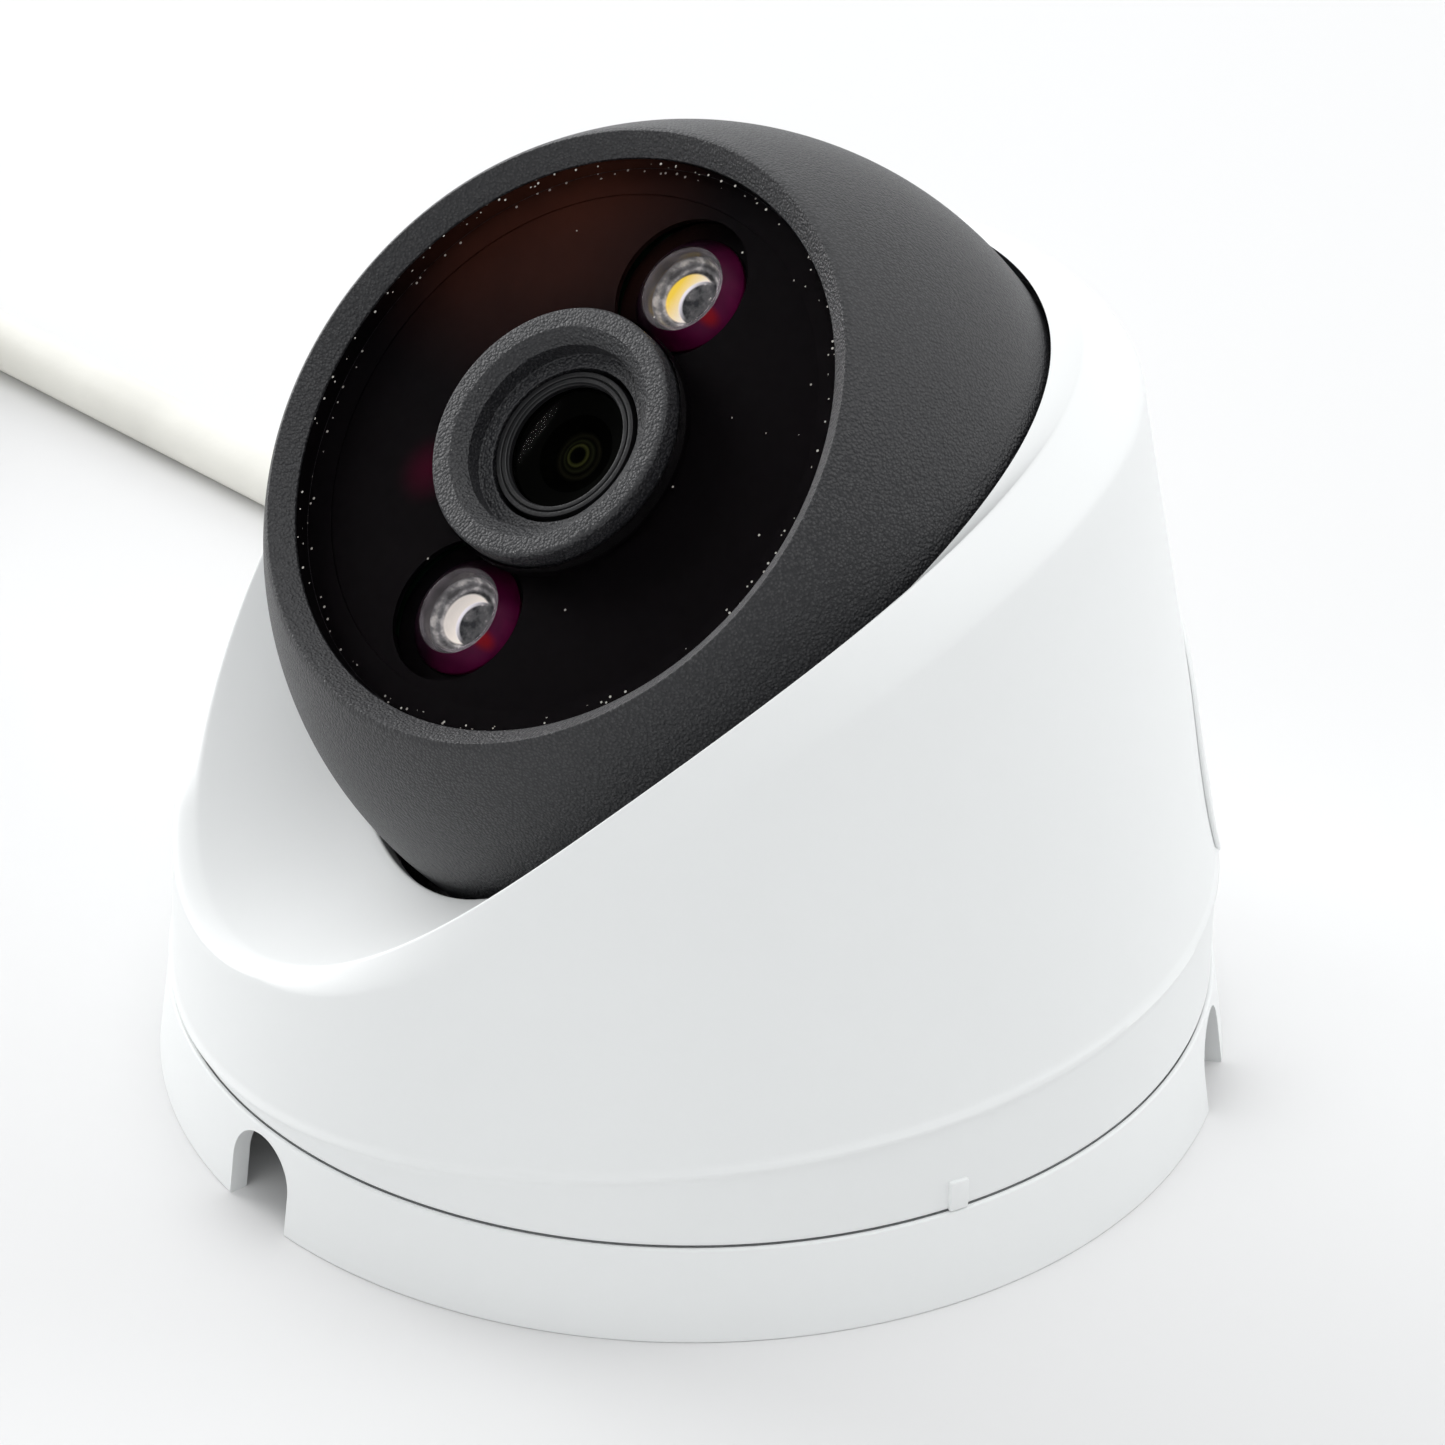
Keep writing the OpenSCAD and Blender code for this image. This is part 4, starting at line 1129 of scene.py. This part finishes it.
SKY_STRENGTH = 1.2
SKY_PATCHES = [
    ((-0.347, -0.70, 0.625), 36, 20, 0.0),
    ((0.87, 0.2, 0.35), 75, 20, 0.5),
    ((-0.9, -0.3, 0.25), 42, 14, 1.9),
]


def make_world():
    """White surroundings with soft dark and bright patches, each a direction, two angles and a level."""
    world = bpy.data.worlds.new("studio")
    bpy.context.scene.world = world
    world.use_nodes = True
    tree = world.node_tree
    sky = tree.nodes["Background"]
    where = tree.nodes.new("ShaderNodeTexCoord").outputs["Generated"]
    strength = None
    for direction, outer, inner, level in SKY_PATCHES:
        dot = tree.nodes.new("ShaderNodeVectorMath")
        dot.operation = "DOT_PRODUCT"
        tree.links.new(where, dot.inputs[0])
        dot.inputs[1].default_value = Vector(direction).normalized()
        near = tree.nodes.new("ShaderNodeMapRange")
        near.interpolation_type = "SMOOTHSTEP"
        near.inputs["From Min"].default_value = math.cos(math.radians(outer))
        near.inputs["From Max"].default_value = math.cos(math.radians(inner))
        near.inputs["To Min"].default_value = 1.0
        near.inputs["To Max"].default_value = level
        tree.links.new(dot.outputs["Value"], near.inputs["Value"])
        both = tree.nodes.new("ShaderNodeMath")
        both.operation = "MULTIPLY"
        both.inputs[1].default_value = SKY_STRENGTH
        tree.links.new(near.outputs["Result"], both.inputs[0])
        if strength is not None:
            tree.links.new(strength, both.inputs[1])
        strength = both.outputs[0]
    tree.links.new(strength, sky.inputs["Strength"])
    sky.inputs["Color"].default_value = (0.98, 0.99, 1.0, 1)


LIGHT_TARGET = Vector((0, 0, 0.05))


def area_light(name, place, size, power):
    """A round white lamp aimed at the object, in metres and watts."""
    data = bpy.data.lights.new(name, "AREA")
    data.shape = "DISK"
    data.size = size
    data.energy = power
    light = bpy.data.objects.new(name, data)
    bpy.context.scene.collection.objects.link(light)
    light.location = place
    aim = LIGHT_TARGET - Vector(place)
    light.rotation_euler = aim.to_track_quat("-Z", "Y").to_euler()


bpy.context.scene.view_settings.view_transform = "Standard"
make_floor()
make_world()
area_light("top", (0.15, 0.1, 1.25), 0.9, 3)
area_light("side", (0.25, 1.1, 0.75), 0.5, 1.5)
area_light("front", (-0.9, -0.66, 0.47), 0.6, 4.8)
